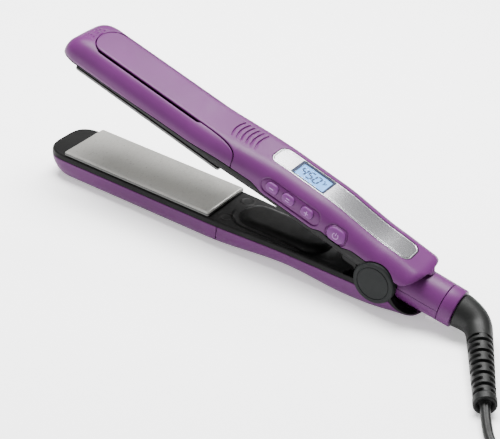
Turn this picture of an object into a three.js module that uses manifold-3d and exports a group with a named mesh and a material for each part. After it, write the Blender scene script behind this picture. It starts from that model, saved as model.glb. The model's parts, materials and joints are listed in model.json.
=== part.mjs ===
// Hair straightener with two hinged arms, floating plates, a display handle and a swivelling cord.
// Millimetres, +Z up. The lower arm lies on its back: +X runs towards the cord, -Y is the button side.
// Each arm is drawn in its own frame: x = 0 at the front edge of the plate, z = 0 on the plane
// where the closed plates meet, z growing outwards through the arm.
import * as THREE from 'three';
import { mergeVertices } from 'three/addons/utils/BufferGeometryUtils.js';
import Module from 'manifold-3d';

const wasm = await Module();
wasm.setup();

// ---------- driving dimensions ----------
const CLEAR = 0.3; // between neighbouring pieces
const WALL = 2; // moulded covers
const FACE_GAP = 0.2; // from each plate to the meeting plane when closed

const PLATE_LENGTH = 110;
const PLATE_WIDTH = 38.1;
const PLATE_THICK = 2.2;
const PLATE_BEVEL = 0.9;
const PLATE_TRAVEL = 0.5; // how far a sprung plate sinks
const CHANNEL_WIDTH = 26; // aluminium channel under the plate, round the heater
const CHANNEL_HEIGHT = 5.2;
const CHANNEL_WALL = 2.2;
const CHANNEL_INSET = 5; // from each end of the plate
const HEATER_HEIGHT = 3;
const THERMISTOR = { from: 20, to: 10, half: 2.5, height: 1.6 }; // distances from the channel's rear end
const HOLDER_WALL = 1.8;
const HOLDER_FLOOR = 1.6;
const SPRING_LENGTH = 16;
const SPRING_WIDTH = 12;
const SPRING_THICK = 0.5;
const SPRING_RISE = 1.5;

const FRONT = -15.6; // nose of both arms
const NOSE_LENGTH = 18.6;
const HINGE_X = 221.6;
const OPEN_ANGLE = 15.6; // degrees between the arms at rest
const SKIRT = 1.6; // slope of the black frame beside the plate
const CORNER = 10;

const UPPER = {
  rear: 245.2, rearLength: 8, widths: [[30, 19.8], [100, 19.8], [150, 18.2], [243, 18.2]],
  depths: [[30, 18.5], [84, 18.5], [145, 22.6], [172, 22.4], [216, 18.8], [243, 17.6]],
  rim: [
    [0, 4.2], [20, 4.5], [81, 6.4], [112, 8.6], [130, 8.6], [142, 5.8], [174, 5.8], [182, 8.2], [188, 7.2],
    [195, 7.2], [203, 9.5], [228, 10], [232, 10], [245.2, 14.2],
  ],
};
const LOWER = {
  rear: 247, rearLength: 8, widths: [[30, 19.8], [108, 19.8], [163, 17.4], [215, 17.4], [247, 14.4]],
  depths: [[30, 21], [108, 21], [163, 18.4], [203, 21], [247, 19.6]],
  rim: [[0, 6.5], [247, 6.5]],
};

const PART_X = 116.6; // side joint between front and rear covers
const FLARE_LENGTH = 30.6; // the joint sweeps back over this length
const TONGUE_HALF = 12.4;
const TONGUE_TIP = 0.6;
const VENT = 1.3; // open slot on each side of the tongue

const PIN_RADIUS = 2;
const PIN_CLEAR = 0.08;
const CAP_RADIUS = 12.75;
const CAP_FACE = 19;
const CAP_THICK = 4.2;
const LUG_RADIUS = 8.6;
const LOWER_LUG = [7.6, 10]; // distance of each lug's two faces from the middle
const UPPER_LUG = [10.4, 13.4];
const SPRING_COIL = [3.1, 0.5]; // torsion spring: mean radius, wire radius
const SPRING_HALF = 3;

const BARREL_TILT = 9; // degrees below the lower arm's axis
const BARREL_START = 11.5; // along the barrel from the hinge axis
const BARREL_LENGTH = 26.4;
const BARREL_RADII = [11.9, 10.9];
const BARREL_BORE = 8.6;
const COLLAR_LENGTH = 7.7;
const COLLAR_CHAMFER = 0.8;
const TANG_HALF = 7.2;
const TANG_RADIUS = 6;
const NECK_RADIUS = 7.4;
const NECK_FLANGE = 8.2;
const NECK_BORE = 3.4; // the cord passes through
const FLANGE_THICK = 2.4;

const PANEL = { start: 132.5, end: 231, half: 8.3, corner: 5, thick: 1.2 };
const WINDOW = { start: 147, end: 170.5, half: 7.6 };
const BOARD = { start: 136, end: 206, half: 12 - WALL / 4, thick: 1.6, z: 17 - WALL };
const MODULE_HEIGHT = 2.6;

const BUTTON_X = { minus: 144.8, mode: 156.2, plus: 169.5 };
const BUTTON_SIZE = [8.6, 6.2];
const BUTTON_Z = 13.3;
const POWER_X = 190.4;
const POWER_Z = 12.2;
const POWER_SIZE = [12, 8.2];
const BUTTON_TRAVEL = 0.7;
const BUTTON_DEEP = 3.2;
const BUTTON_PROUD = 0.7;

const BOSS = { start: 122, end: 183, half: 12.4, height: 3.4, wall: 1.6 };
const SCREW = { x: 8, y: 11.2, head: 2.4, shank: 1.2, length: 7.5 };
const COVER_SCREW = { x: 200, y: 6.6, head: 2.6, headLength: 1.6, shank: 1.3, post: 3.2 };

const CORD_RADIUS = 2.75;
const CORD_SIDES = 10;
const COIL_CENTRE = [380, -45.3];
const COIL_MEAN = 32.5;
const COIL_HALF = [11, 5.5]; // four turns wide, two high
const PLUG = {
  length: 30, half: 9, tail: 5, taper: 18, height: 12, blade: 17, pitch: 12.7, bladeHalf: [0.75, 3.2],
};

// ---------- materials ----------
const paint = (color, roughness, metalness = 0) =>
  new THREE.MeshStandardMaterial({ color, roughness, metalness });
const PURPLE = () => paint(0x7d4a8c, 0.32);
const BLACK = () => paint(0x2b2b2c, 0.5);
const CHARCOAL = () => paint(0x3a3b3c, 0.55);
const CERAMIC = () => paint(0xb9b9b7, 0.3, 0.3);
const SILVER = () => paint(0xc4c4c6, 0.28, 0.9);
const STEEL = () => paint(0xa9abae, 0.35, 1);
const RUBBER = () => paint(0x252526, 0.7);

// ---------- geometry helpers ----------
const v3 = (x, y, z) => new THREE.Vector3(x, y, z);
const rad = THREE.MathUtils.degToRad;

// Smooth value through [x, value] stations, level at each station.
function along(stations, x) {
  const last = stations.length - 1;
  if (x <= stations[0][0]) return stations[0][1];
  if (x >= stations[last][0]) return stations[last][1];
  const k = stations.findIndex((s) => s[0] > x) - 1;
  const t = THREE.MathUtils.smoothstep(x, stations[k][0], stations[k + 1][0]);
  return THREE.MathUtils.lerp(stations[k][1], stations[k + 1][1], t);
}

// Closed skin over rings of equal count, with flat ends.
function skin(rings) {
  const n = rings[0].length;
  const points = rings.flat();
  const index = [];
  for (let r = 0; r + 1 < rings.length; r++) {
    for (let k = 0; k < n; k++) {
      const a = r * n + k;
      const b = r * n + ((k + 1) % n);
      index.push(a, a + n, b, b, a + n, b + n);
    }
  }
  const top = (rings.length - 1) * n;
  for (let k = 1; k + 1 < n; k++) {
    index.push(0, k, k + 1);
    index.push(top, top + k + 1, top + k);
  }
  const geometry = new THREE.BufferGeometry();
  geometry.setAttribute('position', new THREE.Float32BufferAttribute(points.flatMap((p) => [p.x, p.y, p.z]), 3));
  geometry.setIndex(index);
  return volume(geometry) < 0 ? flipped(geometry) : geometry;
}

function volume(geometry) {
  const p = geometry.attributes.position;
  const i = geometry.index.array;
  const at = (k) => new THREE.Vector3().fromBufferAttribute(p, i[k]);
  let sum = 0;
  for (let t = 0; t < i.length; t += 3) sum += at(t).dot(at(t + 1).cross(at(t + 2)));
  return sum;
}

function flipped(geometry) {
  const i = geometry.index.array;
  for (let t = 0; t < i.length; t += 3) [i[t], i[t + 1]] = [i[t + 1], i[t]];
  return geometry;
}

// A closed geometry as a solid that can be cut and joined.
function solid(geometry) {
  const bare = geometry.clone();
  bare.deleteAttribute('normal');
  bare.deleteAttribute('uv');
  const merged = mergeVertices(bare, 1e-4);
  return new wasm.Manifold(new wasm.Mesh({
    numProp: 3,
    vertProperties: new Float32Array(merged.attributes.position.array),
    triVerts: new Uint32Array(merged.index.array),
  }));
}

function geometryOf(body) {
  const mesh = body.getMesh();
  const geometry = new THREE.BufferGeometry();
  geometry.setAttribute('position', new THREE.BufferAttribute(mesh.vertProperties, 3));
  geometry.setIndex(new THREE.BufferAttribute(mesh.triVerts, 1));
  return geometry;
}

const join = (first, ...rest) => rest.reduce((sum, part) => sum.add(part), first);
const cut = (first, ...rest) => rest.reduce((sum, part) => sum.subtract(part), first);

// Box between two corners.
function block(low, high) {
  const size = high.map((h, k) => h - low[k]);
  const box = new THREE.BoxGeometry(...size);
  box.translate(...high.map((h, k) => (h + low[k]) / 2));
  return solid(box);
}

// Outline in plan, raised from z low to z high.
function prism(shape, low, high, segments = 6) {
  const body = new THREE.ExtrudeGeometry(shape, { depth: high - low, bevelEnabled: false, curveSegments: segments });
  body.translate(0, 0, low);
  return solid(body);
}

// Outline drawn in x and z, spread across y from low to high.
function slab(shape, low, high, segments = 6) {
  const body = new THREE.ExtrudeGeometry(shape, { depth: high - low, bevelEnabled: false, curveSegments: segments });
  body.rotateX(Math.PI / 2);
  body.translate(0, high, 0);
  return solid(body);
}

// Round bar along y.
function barY(radius, low, high, x, z, sides = 24) {
  const bar = new THREE.CylinderGeometry(radius, radius, high - low, sides);
  bar.translate(x, (low + high) / 2, z);
  return solid(bar);
}

// Round post along z.
function postZ(radius, low, high, x, y, sides = 16) {
  const post = new THREE.CylinderGeometry(radius, radius, high - low, sides);
  post.rotateX(Math.PI / 2);
  post.translate(x, y, (low + high) / 2);
  return solid(post);
}

// Turned shape: [radius, distance] pairs about an axis that runs along +x.
function turned(profile, sides = 24) {
  const body = new THREE.LatheGeometry(profile.map((p) => new THREE.Vector2(...p)), sides);
  body.rotateZ(-Math.PI / 2);
  return solid(body);
}

// Round-cornered rectangle in plan.
function roundedRect(x0, x1, y0, y1, r) {
  const s = new THREE.Shape();
  s.moveTo(x0 + r, y0);
  s.lineTo(x1 - r, y0);
  s.absarc(x1 - r, y0 + r, r, -Math.PI / 2, 0);
  s.lineTo(x1, y1 - r);
  s.absarc(x1 - r, y1 - r, r, 0, Math.PI / 2);
  s.lineTo(x0 + r, y1);
  s.absarc(x0 + r, y1 - r, r, Math.PI / 2, Math.PI);
  s.lineTo(x0, y0 + r);
  s.absarc(x0 + r, y0 + r, r, Math.PI, Math.PI * 1.5);
  return s;
}

// Round tube of changing radius along a curve.
function tube(curve, radiusAt, sides, steps) {
  const frames = curve.computeFrenetFrames(steps, false);
  const rings = [];
  for (let k = 0; k <= steps; k++) {
    const centre = curve.getPointAt(k / steps);
    const ring = [];
    for (let s = 0; s < sides; s++) {
      const turn = (s / sides) * Math.PI * 2;
      const offset = frames.normals[k].clone().multiplyScalar(Math.cos(turn));
      offset.addScaledVector(frames.binormals[k], Math.sin(turn)).multiplyScalar(radiusAt(k / steps));
      ring.push(offset.add(centre));
    }
    rings.push(ring);
  }
  return skin(rings);
}

function add(group, name, body, material) {
  const geometry = body.isBufferGeometry ? body : geometryOf(body);
  const mesh = new THREE.Mesh(geometry, material);
  mesh.name = name;
  group.add(mesh);
  return mesh;
}

// ---------- the arms' outer form ----------
const faceZ = FACE_GAP + PLATE_THICK + PLATE_TRAVEL + CLEAR; // inner face of each black frame

// Half width and depth of an arm at x, drawn in by an inset.
function armSize(arm, x, inset) {
  const nose = Math.min(1, Math.max(0, (FRONT + NOSE_LENGTH - x) / (NOSE_LENGTH - inset)));
  const tail = Math.min(1, Math.max(0, (x - arm.rear + arm.rearLength) / (arm.rearLength - inset)));
  const plan = (1 - nose ** 3.2) ** (1 / 3.2) * (1 - tail ** 2.6 * 0.999) ** (1 / 2.6);
  const side = (1 - nose ** 2.2) ** (1 / 2.2) * (1 - (tail * 0.72) ** 3) ** (1 / 3);
  return {
    half: (along(arm.widths, x) - inset) * plan,
    depth: (along(arm.depths, x) - inset) * side,
  };
}

// Cross-section of an arm: sloped skirt beside the plate, straight sides, round back corners.
function armRing(arm, x, inset) {
  const { half, depth } = armSize(arm, x, inset);
  const corner = Math.min(CORNER - inset, half * 0.7, depth * 0.55);
  const skirt = Math.min(SKIRT, half * 0.2);
  const kneeZ = Math.min(faceZ + 3.3, (depth - corner) * 0.9);
  const side = [[half - skirt, 0], [half, kneeZ]];
  const steps = 5;
  for (let k = 0; k <= steps; k++) {
    const turn = (k / steps) * (Math.PI / 2);
    side.push([half - corner + corner * Math.cos(turn), depth - corner + corner * Math.sin(turn)]);
  }
  const right = side.map(([y, z]) => v3(x, y, z));
  const left = side.map(([y, z]) => v3(x, -y, z)).reverse();
  return [...right, ...left];
}

function armForm(arm, inset = 0) {
  const low = FRONT + inset;
  const noseEnd = FRONT + NOSE_LENGTH;
  const tailStart = arm.rear - arm.rearLength;
  const xs = [];
  for (let k = 0; k <= 6; k++) xs.push(noseEnd - (noseEnd - low) * Math.sin((1 - k / 6) * Math.PI / 2) * 0.996);
  for (let x = noseEnd + 25; x < tailStart - 6; x += 15) xs.push(x);
  for (let k = 0; k <= 4; k++) {
    xs.push(tailStart + (arm.rear - inset - tailStart) * Math.sin((k / 4) * Math.PI / 2) * 0.996);
  }
  return solid(skin(xs.map((x) => armRing(arm, x, inset))));
}

// Region outwards of an arm's rim line, or inwards of it, as a cutter across the whole width.
function rimSlab(arm, shift, outward) {
  const far = outward ? 40 : -20;
  const shape = new THREE.Shape();
  const ends = [FRONT - 5, arm.rear + 5];
  const xs = [ends[0]];
  arm.rim.slice(1).forEach(([x, z], k) => {
    const [from, start] = arm.rim[k];
    const count = z === start ? 1 : 5;
    for (let n = 0; n < count; n++) xs.push(THREE.MathUtils.lerp(from, x, n / count));
  });
  shape.moveTo(ends[0], far);
  for (const x of [...xs, ends[1]]) shape.lineTo(x, along(arm.rim, x) + shift);
  shape.lineTo(ends[1], far);
  return slab(shape, -30, 30);
}

// Plan of the rear cover: handle plus the tongue that runs forward to the tip.
function tongueShape(arm, grow) {
  const half = TONGUE_HALF + grow;
  const wide = 40;
  const flareStart = PART_X - FLARE_LENGTH;
  const edge = along(arm.widths, PART_X) + 0.4;
  const flare = (side) => {
    const points = [];
    for (let k = 0; k <= 8; k++) {
      const turn = (k / 8) * (Math.PI / 2);
      points.push([
        flareStart + FLARE_LENGTH * Math.sin(turn),
        side * (edge - (edge - TONGUE_HALF) * Math.cos(turn) + grow * Math.cos(turn)),
      ]);
    }
    return points;
  };
  const s = new THREE.Shape();
  s.moveTo(arm.rear + 10, -wide);
  s.lineTo(arm.rear + 10, wide);
  s.lineTo(PART_X - grow * 0.25, wide);
  for (const [x, y] of flare(1).reverse()) s.lineTo(x - grow * 0.25, y);
  const tipRound = half * 0.75;
  s.lineTo(TONGUE_TIP - grow + tipRound, half);
  s.ellipse(0, -half, tipRound, half, Math.PI / 2, Math.PI * 1.5);
  for (const [x, y] of flare(-1)) s.lineTo(x - grow * 0.25, y);
  s.lineTo(PART_X - grow * 0.25, -wide);
  return s;
}

// Room for the hinge caps on both sides of an arm.
function capNotches() {
  const inner = CAP_FACE - CAP_THICK - CLEAR;
  const radius = CAP_RADIUS + 0.6;
  return join(barY(radius, inner, 30, HINGE_X, 0, 32), barY(radius, -30, -inner, HINGE_X, 0, 32));
}

// Barrel axis as seen from an arm: the angle below that arm's own axis.
function barrelFrame(body, tilt) {
  return body.rotate([0, tilt, 0]).translate([HINGE_X, 0, 0]);
}

// ---------- plate sub-assembly, the same in both arms ----------
const channelZ = [FACE_GAP + PLATE_THICK, FACE_GAP + PLATE_THICK + CHANNEL_HEIGHT];
const channelX = [CHANNEL_INSET, PLATE_LENGTH - CHANNEL_INSET];
const heaterGap = 0.1;
const holderX = [channelX[0] - CLEAR - HOLDER_WALL, channelX[1] + CLEAR + HOLDER_WALL];
const holderHalf = CHANNEL_WIDTH / 2 + CLEAR + HOLDER_WALL;
const springRoom = SPRING_RISE + SPRING_THICK + PLATE_TRAVEL + CLEAR;
const holderZ = [faceZ + 0.4, channelZ[1] + springRoom + HOLDER_FLOOR];

// Plate slab with bevelled long edges and the channel that grips the heater.
function plateBody() {
  const half = PLATE_WIDTH / 2;
  const s = new THREE.Shape();
  s.moveTo(-half + PLATE_BEVEL, FACE_GAP);
  s.lineTo(half - PLATE_BEVEL, FACE_GAP);
  s.lineTo(half, FACE_GAP + PLATE_BEVEL);
  s.lineTo(half, FACE_GAP + PLATE_THICK);
  s.lineTo(CHANNEL_WIDTH / 2, channelZ[0]);
  s.lineTo(-CHANNEL_WIDTH / 2, channelZ[0]);
  s.lineTo(-half, FACE_GAP + PLATE_THICK);
  s.lineTo(-half, FACE_GAP + PLATE_BEVEL);
  const slabBody = new THREE.ExtrudeGeometry(s, { depth: PLATE_LENGTH, bevelEnabled: false });
  slabBody.rotateZ(Math.PI / 2);
  slabBody.rotateY(Math.PI / 2);
  const plate = solid(slabBody);
  const rail = (side) => block(
    [channelX[0], Math.min(side * (CHANNEL_WIDTH / 2 - CHANNEL_WALL), side * CHANNEL_WIDTH / 2), channelZ[0] - 0.2],
    [channelX[1], Math.max(side * (CHANNEL_WIDTH / 2 - CHANNEL_WALL), side * CHANNEL_WIDTH / 2), channelZ[1]],
  );
  return join(plate, rail(1), rail(-1));
}

function heaterBody() {
  const half = CHANNEL_WIDTH / 2 - CHANNEL_WALL - heaterGap;
  return block(
    [channelX[0] + 2, -half, channelZ[0] + heaterGap],
    [channelX[1] - 2, half, channelZ[0] + heaterGap + HEATER_HEIGHT],
  );
}

function thermistorBody() {
  const z = channelZ[0] + heaterGap * 2 + HEATER_HEIGHT;
  const { from, to, half, height } = THERMISTOR;
  return block([channelX[1] - from, -half, z], [channelX[1] - to, half, z + height]);
}

// Tray that guides the channel and carries the leaf springs.
function holderBody() {
  const outer = block([holderX[0], -holderHalf, holderZ[0]], [holderX[1], holderHalf, holderZ[1]]);
  const inner = block(
    [holderX[0] + HOLDER_WALL, -holderHalf + HOLDER_WALL, -20],
    [holderX[1] - HOLDER_WALL, holderHalf - HOLDER_WALL, holderZ[1] - HOLDER_FLOOR],
  );
  const wireSlot = block([holderX[1] - 10, -4, -20], [holderX[1] + 10, 4, holderZ[1] - HOLDER_FLOOR]);
  return cut(outer, inner, wireSlot);
}

// Arched leaf spring between the tray's floor and the channel.
function leafBody(x) {
  const base = holderZ[1] - HOLDER_FLOOR - 0.05;
  const outer = [];
  const inner = [];
  for (let k = 0; k <= 8; k++) {
    const t = k / 8;
    const lift = SPRING_RISE * Math.sin(Math.PI * t);
    outer.push(new THREE.Vector2(x - SPRING_LENGTH / 2 + SPRING_LENGTH * t, base - lift));
    inner.push(new THREE.Vector2(x - SPRING_LENGTH / 2 + SPRING_LENGTH * t, base - lift - SPRING_THICK));
  }
  return slab(new THREE.Shape([...outer, ...inner.reverse()]), -SPRING_WIDTH / 2, SPRING_WIDTH / 2);
}

// Pan-head screw seen on the inner face behind the plate.
const screwX = PLATE_LENGTH + SCREW.x;
function faceScrew(side) {
  const y = side * SCREW.y;
  const head = postZ(SCREW.head, faceZ + 0.5, faceZ + 1.7, screwX, y);
  const shank = postZ(SCREW.shank, faceZ + 1.6, faceZ + 1.6 + SCREW.length, screwX, y, 12);
  return join(head, shank);
}

function screwHoles(half) {
  const hole = (side) => join(
    postZ(SCREW.head + CLEAR, -5, faceZ + 1.7 + CLEAR, screwX, side * SCREW.y),
    postZ(SCREW.shank + CLEAR, -5, half, screwX, side * SCREW.y, 12),
  );
  return join(hole(1), hole(-1));
}

// Screws that hold the lower rear cover to posts on the inner frame.
const coverDepth = Math.min(
  along(LOWER.depths, COVER_SCREW.x - COVER_SCREW.post), along(LOWER.depths, COVER_SCREW.x + COVER_SCREW.post),
);
const screwTop = coverDepth - 0.5;
const postTop = coverDepth - WALL - 3 * CLEAR;

function coverScrew(side) {
  const y = side * COVER_SCREW.y;
  const head = postZ(COVER_SCREW.head, screwTop - COVER_SCREW.headLength, screwTop, COVER_SCREW.x, y);
  return join(head, postZ(COVER_SCREW.shank, faceZ + 5, screwTop - 1, COVER_SCREW.x, y, 12));
}

function coverScrewHole(side) {
  const low = screwTop - COVER_SCREW.headLength - CLEAR * 2;
  return postZ(COVER_SCREW.head + CLEAR, low, coverDepth + 5, COVER_SCREW.x, side * COVER_SCREW.y);
}

function coverScrewPost(side) {
  return postZ(COVER_SCREW.post, faceZ + 1, postTop - CLEAR, COVER_SCREW.x, side * COVER_SCREW.y);
}

function coverScrewBore(side) {
  return postZ(COVER_SCREW.shank + 0.1, faceZ + 4, coverDepth, COVER_SCREW.x, side * COVER_SCREW.y, 12);
}

// ---------- black inner frames ----------
const plateBay = () => block(
  [holderX[0] - CLEAR, -holderHalf - CLEAR, -10],
  [holderX[1] + CLEAR, holderHalf + CLEAR, 40],
);
const frameThick = 2.4;

// Hollow sheet that follows the rim line: a face, side walls and a nose.
function frameShell(arm, form) {
  const band = form.intersect(rimSlab(arm, -CLEAR / 2, false));
  const faced = cut(band, block([-100, -40, -10], [300, 40, faceZ]));
  const inner = armForm(arm, WALL + CLEAR);
  const hollow = inner.intersect(block([PLATE_LENGTH + 4, -40, faceZ + frameThick], [300, 40, 40]));
  return cut(faced, hollow, plateBay());
}

function lug(side, span, drop, reach) {
  const [near, far] = span;
  const low = side > 0 ? near : -far;
  const high = side > 0 ? far : -near;
  const round = barY(LUG_RADIUS, low, high, HINGE_X, 0, 24);
  const foot = block([HINGE_X - reach, low, drop[0]], [HINGE_X + LUG_RADIUS * 0.7, high, drop[1]]);
  return join(round, foot);
}

function pinHole() {
  return barY(PIN_RADIUS + PIN_CLEAR, -30, 30, HINGE_X, 0, 16);
}

// Smooth pill-shaped housing on the lower arm's inner face.
function bossBody(grow, height, base) {
  const xs = [0, 0.04, 0.12, 0.22, 0.5, 0.78, 0.88, 0.96, 1];
  const rings = xs.map((t) => {
    const swell = Math.sqrt(Math.max(0.02, 1 - (2 * t - 1) ** 6));
    const x = THREE.MathUtils.lerp(BOSS.start - grow, BOSS.end + grow, t);
    const half = (BOSS.half + grow) * swell;
    const top = faceZ - (height + grow) * swell ** 0.7;
    const ring = [];
    for (let k = 0; k <= 10; k++) {
      const turn = (k / 10) * Math.PI;
      const flat = Math.sin(turn) ** 0.6;
      ring.push(v3(x, half * Math.cos(turn), base + (top - base) * flat));
    }
    return ring;
  });
  return solid(skin(rings));
}

// ---------- barrel, collar and swivel, drawn along +x from the hinge axis ----------
const barrelEnd = BARREL_START + BARREL_LENGTH;
const collarEnd = barrelEnd + CLEAR + COLLAR_LENGTH;

function barrelHalf(upper) {
  const whole = turned([
    [BARREL_BORE, BARREL_START], [BARREL_RADII[0], BARREL_START], [BARREL_RADII[1], barrelEnd],
    [BARREL_BORE, barrelEnd], [BARREL_BORE, BARREL_START],
  ], 32);
  const side = upper
    ? block([-5, -20, 0.1], [80, 20, 20])
    : block([-5, -20, -20], [80, 20, -0.1]);
  return whole.intersect(side);
}

// Tang that sits round the hinge pin and carries the barrel.
function tang() {
  const body = block([-TANG_HALF, -TANG_HALF, -TANG_RADIUS], [BARREL_START + 3, TANG_HALF, -0.1]);
  const round = barY(TANG_RADIUS, -TANG_HALF, TANG_HALF, 0, 0, 20);
  const coilRoom = barY(SPRING_COIL[0] + SPRING_COIL[1] + 0.4, -SPRING_HALF - 0.5, SPRING_HALF + 0.5, 0, 0, 20);
  const mouth = block([-20, -SPRING_HALF - 0.5, -8], [0, SPRING_HALF + 0.5, 8]);
  const bore = turned([[0, 3], [BARREL_BORE, 3], [BARREL_BORE, 80], [0, 80], [0, 3]], 32);
  const pin = barY(PIN_RADIUS + PIN_CLEAR, -30, 30, 0, 0, 16);
  return cut(join(body, round), coilRoom, mouth, bore.intersect(block([6, -20, -20], [80, 20, 20])), pin);
}

function collarBody() {
  const outer = BARREL_RADII[1];
  const start = barrelEnd + CLEAR;
  return turned([
    [NECK_RADIUS + CLEAR, start], [outer, start], [outer, collarEnd - COLLAR_CHAMFER], [outer - COLLAR_CHAMFER, collarEnd],
    [NECK_RADIUS + CLEAR, collarEnd], [NECK_RADIUS + CLEAR, start],
  ], 32);
}

function neckBody() {
  const flange = barrelEnd - 4;
  return turned([
    [NECK_BORE, flange], [NECK_FLANGE, flange], [NECK_FLANGE, flange + FLANGE_THICK], [NECK_RADIUS, flange + FLANGE_THICK],
    [NECK_RADIUS, collarEnd + 0.2], [NECK_BORE, collarEnd + 0.2], [NECK_BORE, flange],
  ], 24);
}

// ---------- cord, in the frame of the lower arm ----------
const floorZ = -along(LOWER.depths, 60);
const lying = floorZ + CORD_RADIUS + 0.1;
const barrelDir = v3(Math.cos(rad(BARREL_TILT)), 0, -Math.sin(rad(BARREL_TILT)));
const elbowStart = v3(HINGE_X, 0, 0).addScaledVector(barrelDir, collarEnd + 0.5);
const elbowEnd = v3(287.6, -13.6, -12);
const reliefEnd = v3(312.4, -57, -14.6);
const reliefDir = reliefEnd.clone().sub(elbowEnd).normalize();
const cordPoints = [
  [312.7, -57.6, -14.7], [315.5, -62.4, -15.6], [319.4, -68.4, -16.8], [325, -75.6, -17.9],
  [332.5, -81.8, lying], [341.5, -85.6, lying], [351, -87.3, lying], [361, -87.7, lying],
];
const tailPoints = [[374, 0.8, lying], [367, 1.1, lying], [361, 1.3, lying]];
const plugStart = [360.6, 1.3];

const curveOf = (points) => new THREE.CatmullRomCurve3(points.map((p) => (p.isVector3 ? p : v3(...p))));

function elbowBody() {
  const radii = [[0, 8.6], [0.35, 8.4], [1, 7.3]];
  const path = new THREE.CubicBezierCurve3(
    elbowStart, elbowStart.clone().addScaledVector(barrelDir, 13),
    elbowEnd.clone().addScaledVector(reliefDir, -11), elbowEnd,
  );
  return tube(path, (t) => along(radii, t), 18, 9);
}

function reliefBody() {
  const line = new THREE.LineCurve3(elbowEnd.clone().addScaledVector(reliefDir, CLEAR), reliefEnd);
  return tube(line, (t) => THREE.MathUtils.lerp(7.2, 6.1, t), 16, 1);
}

// Straight or curved run of cord with its own round section.
function cordBody(points, steps) {
  const section = new THREE.Shape();
  for (let k = 0; k < CORD_SIDES; k++) {
    const turn = (k / CORD_SIDES) * Math.PI * 2;
    const to = [CORD_RADIUS * Math.cos(turn), CORD_RADIUS * Math.sin(turn)];
    if (k) section.lineTo(...to);
    else section.moveTo(...to);
  }
  return new THREE.ExtrudeGeometry(section, { extrudePath: curveOf(points), steps, bevelEnabled: false });
}

// Neat ring of turns lying on the surface.
function coilBody() {
  const ring = [];
  for (let k = 0; k <= 10; k++) {
    const turn = (k / 10) * Math.PI * 2;
    ring.push(new THREE.Vector2(COIL_MEAN + COIL_HALF[0] * Math.cos(turn), COIL_HALF[1] * Math.sin(turn)));
  }
  const body = new THREE.LatheGeometry(ring, 28);
  body.rotateX(Math.PI / 2);
  body.translate(COIL_CENTRE[0], COIL_CENTRE[1], floorZ + COIL_HALF[1]);
  return body;
}

function plugBody() {
  const [x, y] = plugStart;
  const s = new THREE.Shape();
  s.moveTo(x, y - PLUG.tail);
  s.lineTo(x, y + PLUG.tail);
  s.lineTo(x - PLUG.taper, y + PLUG.half);
  s.lineTo(x - PLUG.length, y + PLUG.half);
  s.lineTo(x - PLUG.length, y - PLUG.half);
  s.lineTo(x - PLUG.taper, y - PLUG.half);
  return prism(s, floorZ, floorZ + PLUG.height);
}

function bladeBody(side) {
  const x = plugStart[0] - PLUG.length - CLEAR;
  const y = plugStart[1] + side * PLUG.pitch / 2;
  const z = floorZ + PLUG.height / 2;
  const [thin, tall] = PLUG.bladeHalf;
  return block([x - PLUG.blade, y - thin, z - tall], [x, y + thin, z + tall]);
}

// ---------- arms ----------
const springXs = [channelX[0] + 22, channelX[1] - 22];

function addPlateSet(group, prefix) {
  add(group, `${prefix}_plate`, plateBody(), CERAMIC());
  add(group, `${prefix}_heater`, heaterBody(), STEEL());
  add(group, `${prefix}_thermistor`, thermistorBody(), BLACK());
  add(group, `${prefix}_plate_holder`, holderBody(), BLACK());
  ['front', 'rear'].forEach((place, k) => add(group, `${prefix}_leaf_spring_${place}`, leafBody(springXs[k]), STEEL()));
  add(group, `${prefix}_screw_a`, faceScrew(-1), STEEL());
  add(group, `${prefix}_screw_b`, faceScrew(1), STEEL());
}

// Front and rear covers as one hollow shell, split along the tongue's outline.
function coverShell(arm, form) {
  const inner = armForm(arm, WALL);
  const shell = cut(form, inner).intersect(rimSlab(arm, CLEAR / 2, true));
  return cut(shell, capNotches());
}

function splitCovers(arm, shell) {
  const keepRear = prism(tongueShape(arm, 0), -10, 50, 8);
  const clearFront = prism(tongueShape(arm, VENT), -10, 50, 8);
  return { front: cut(shell, clearFront), rear: shell.intersect(keepRear) };
}

const pill = (cx, cz, [w, h], grow) => {
  const r = h / 2 + grow - 0.01;
  return roundedRect(cx - w / 2 - grow, cx + w / 2 + grow, cz - h / 2 - grow, cz + h / 2 + grow, r);
};
const buttons = [
  ...Object.entries(BUTTON_X).map(([name, x]) => ({ name: `button_${name}`, x, z: BUTTON_Z, size: BUTTON_SIZE })),
  { name: 'button_power', x: POWER_X, z: POWER_Z, size: POWER_SIZE },
];

function buttonBody({ x, z, size }, form) {
  const wall = -along(UPPER.widths, x);
  const cap = slab(pill(x, z, size, 0), wall - 3, wall + BUTTON_DEEP, 4);
  const proud = form.translate([0, -BUTTON_PROUD, 0]);
  return cap.intersect(proud);
}

function panelShape(grow) {
  return roundedRect(PANEL.start - grow, PANEL.end + grow, -PANEL.half - grow, PANEL.half + grow, PANEL.corner);
}

// Skin of the arm between two depths below its surface.
const layer = (form, from, to) => cut(form.translate([0, 0, -from]), form.translate([0, 0, -to]));

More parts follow.
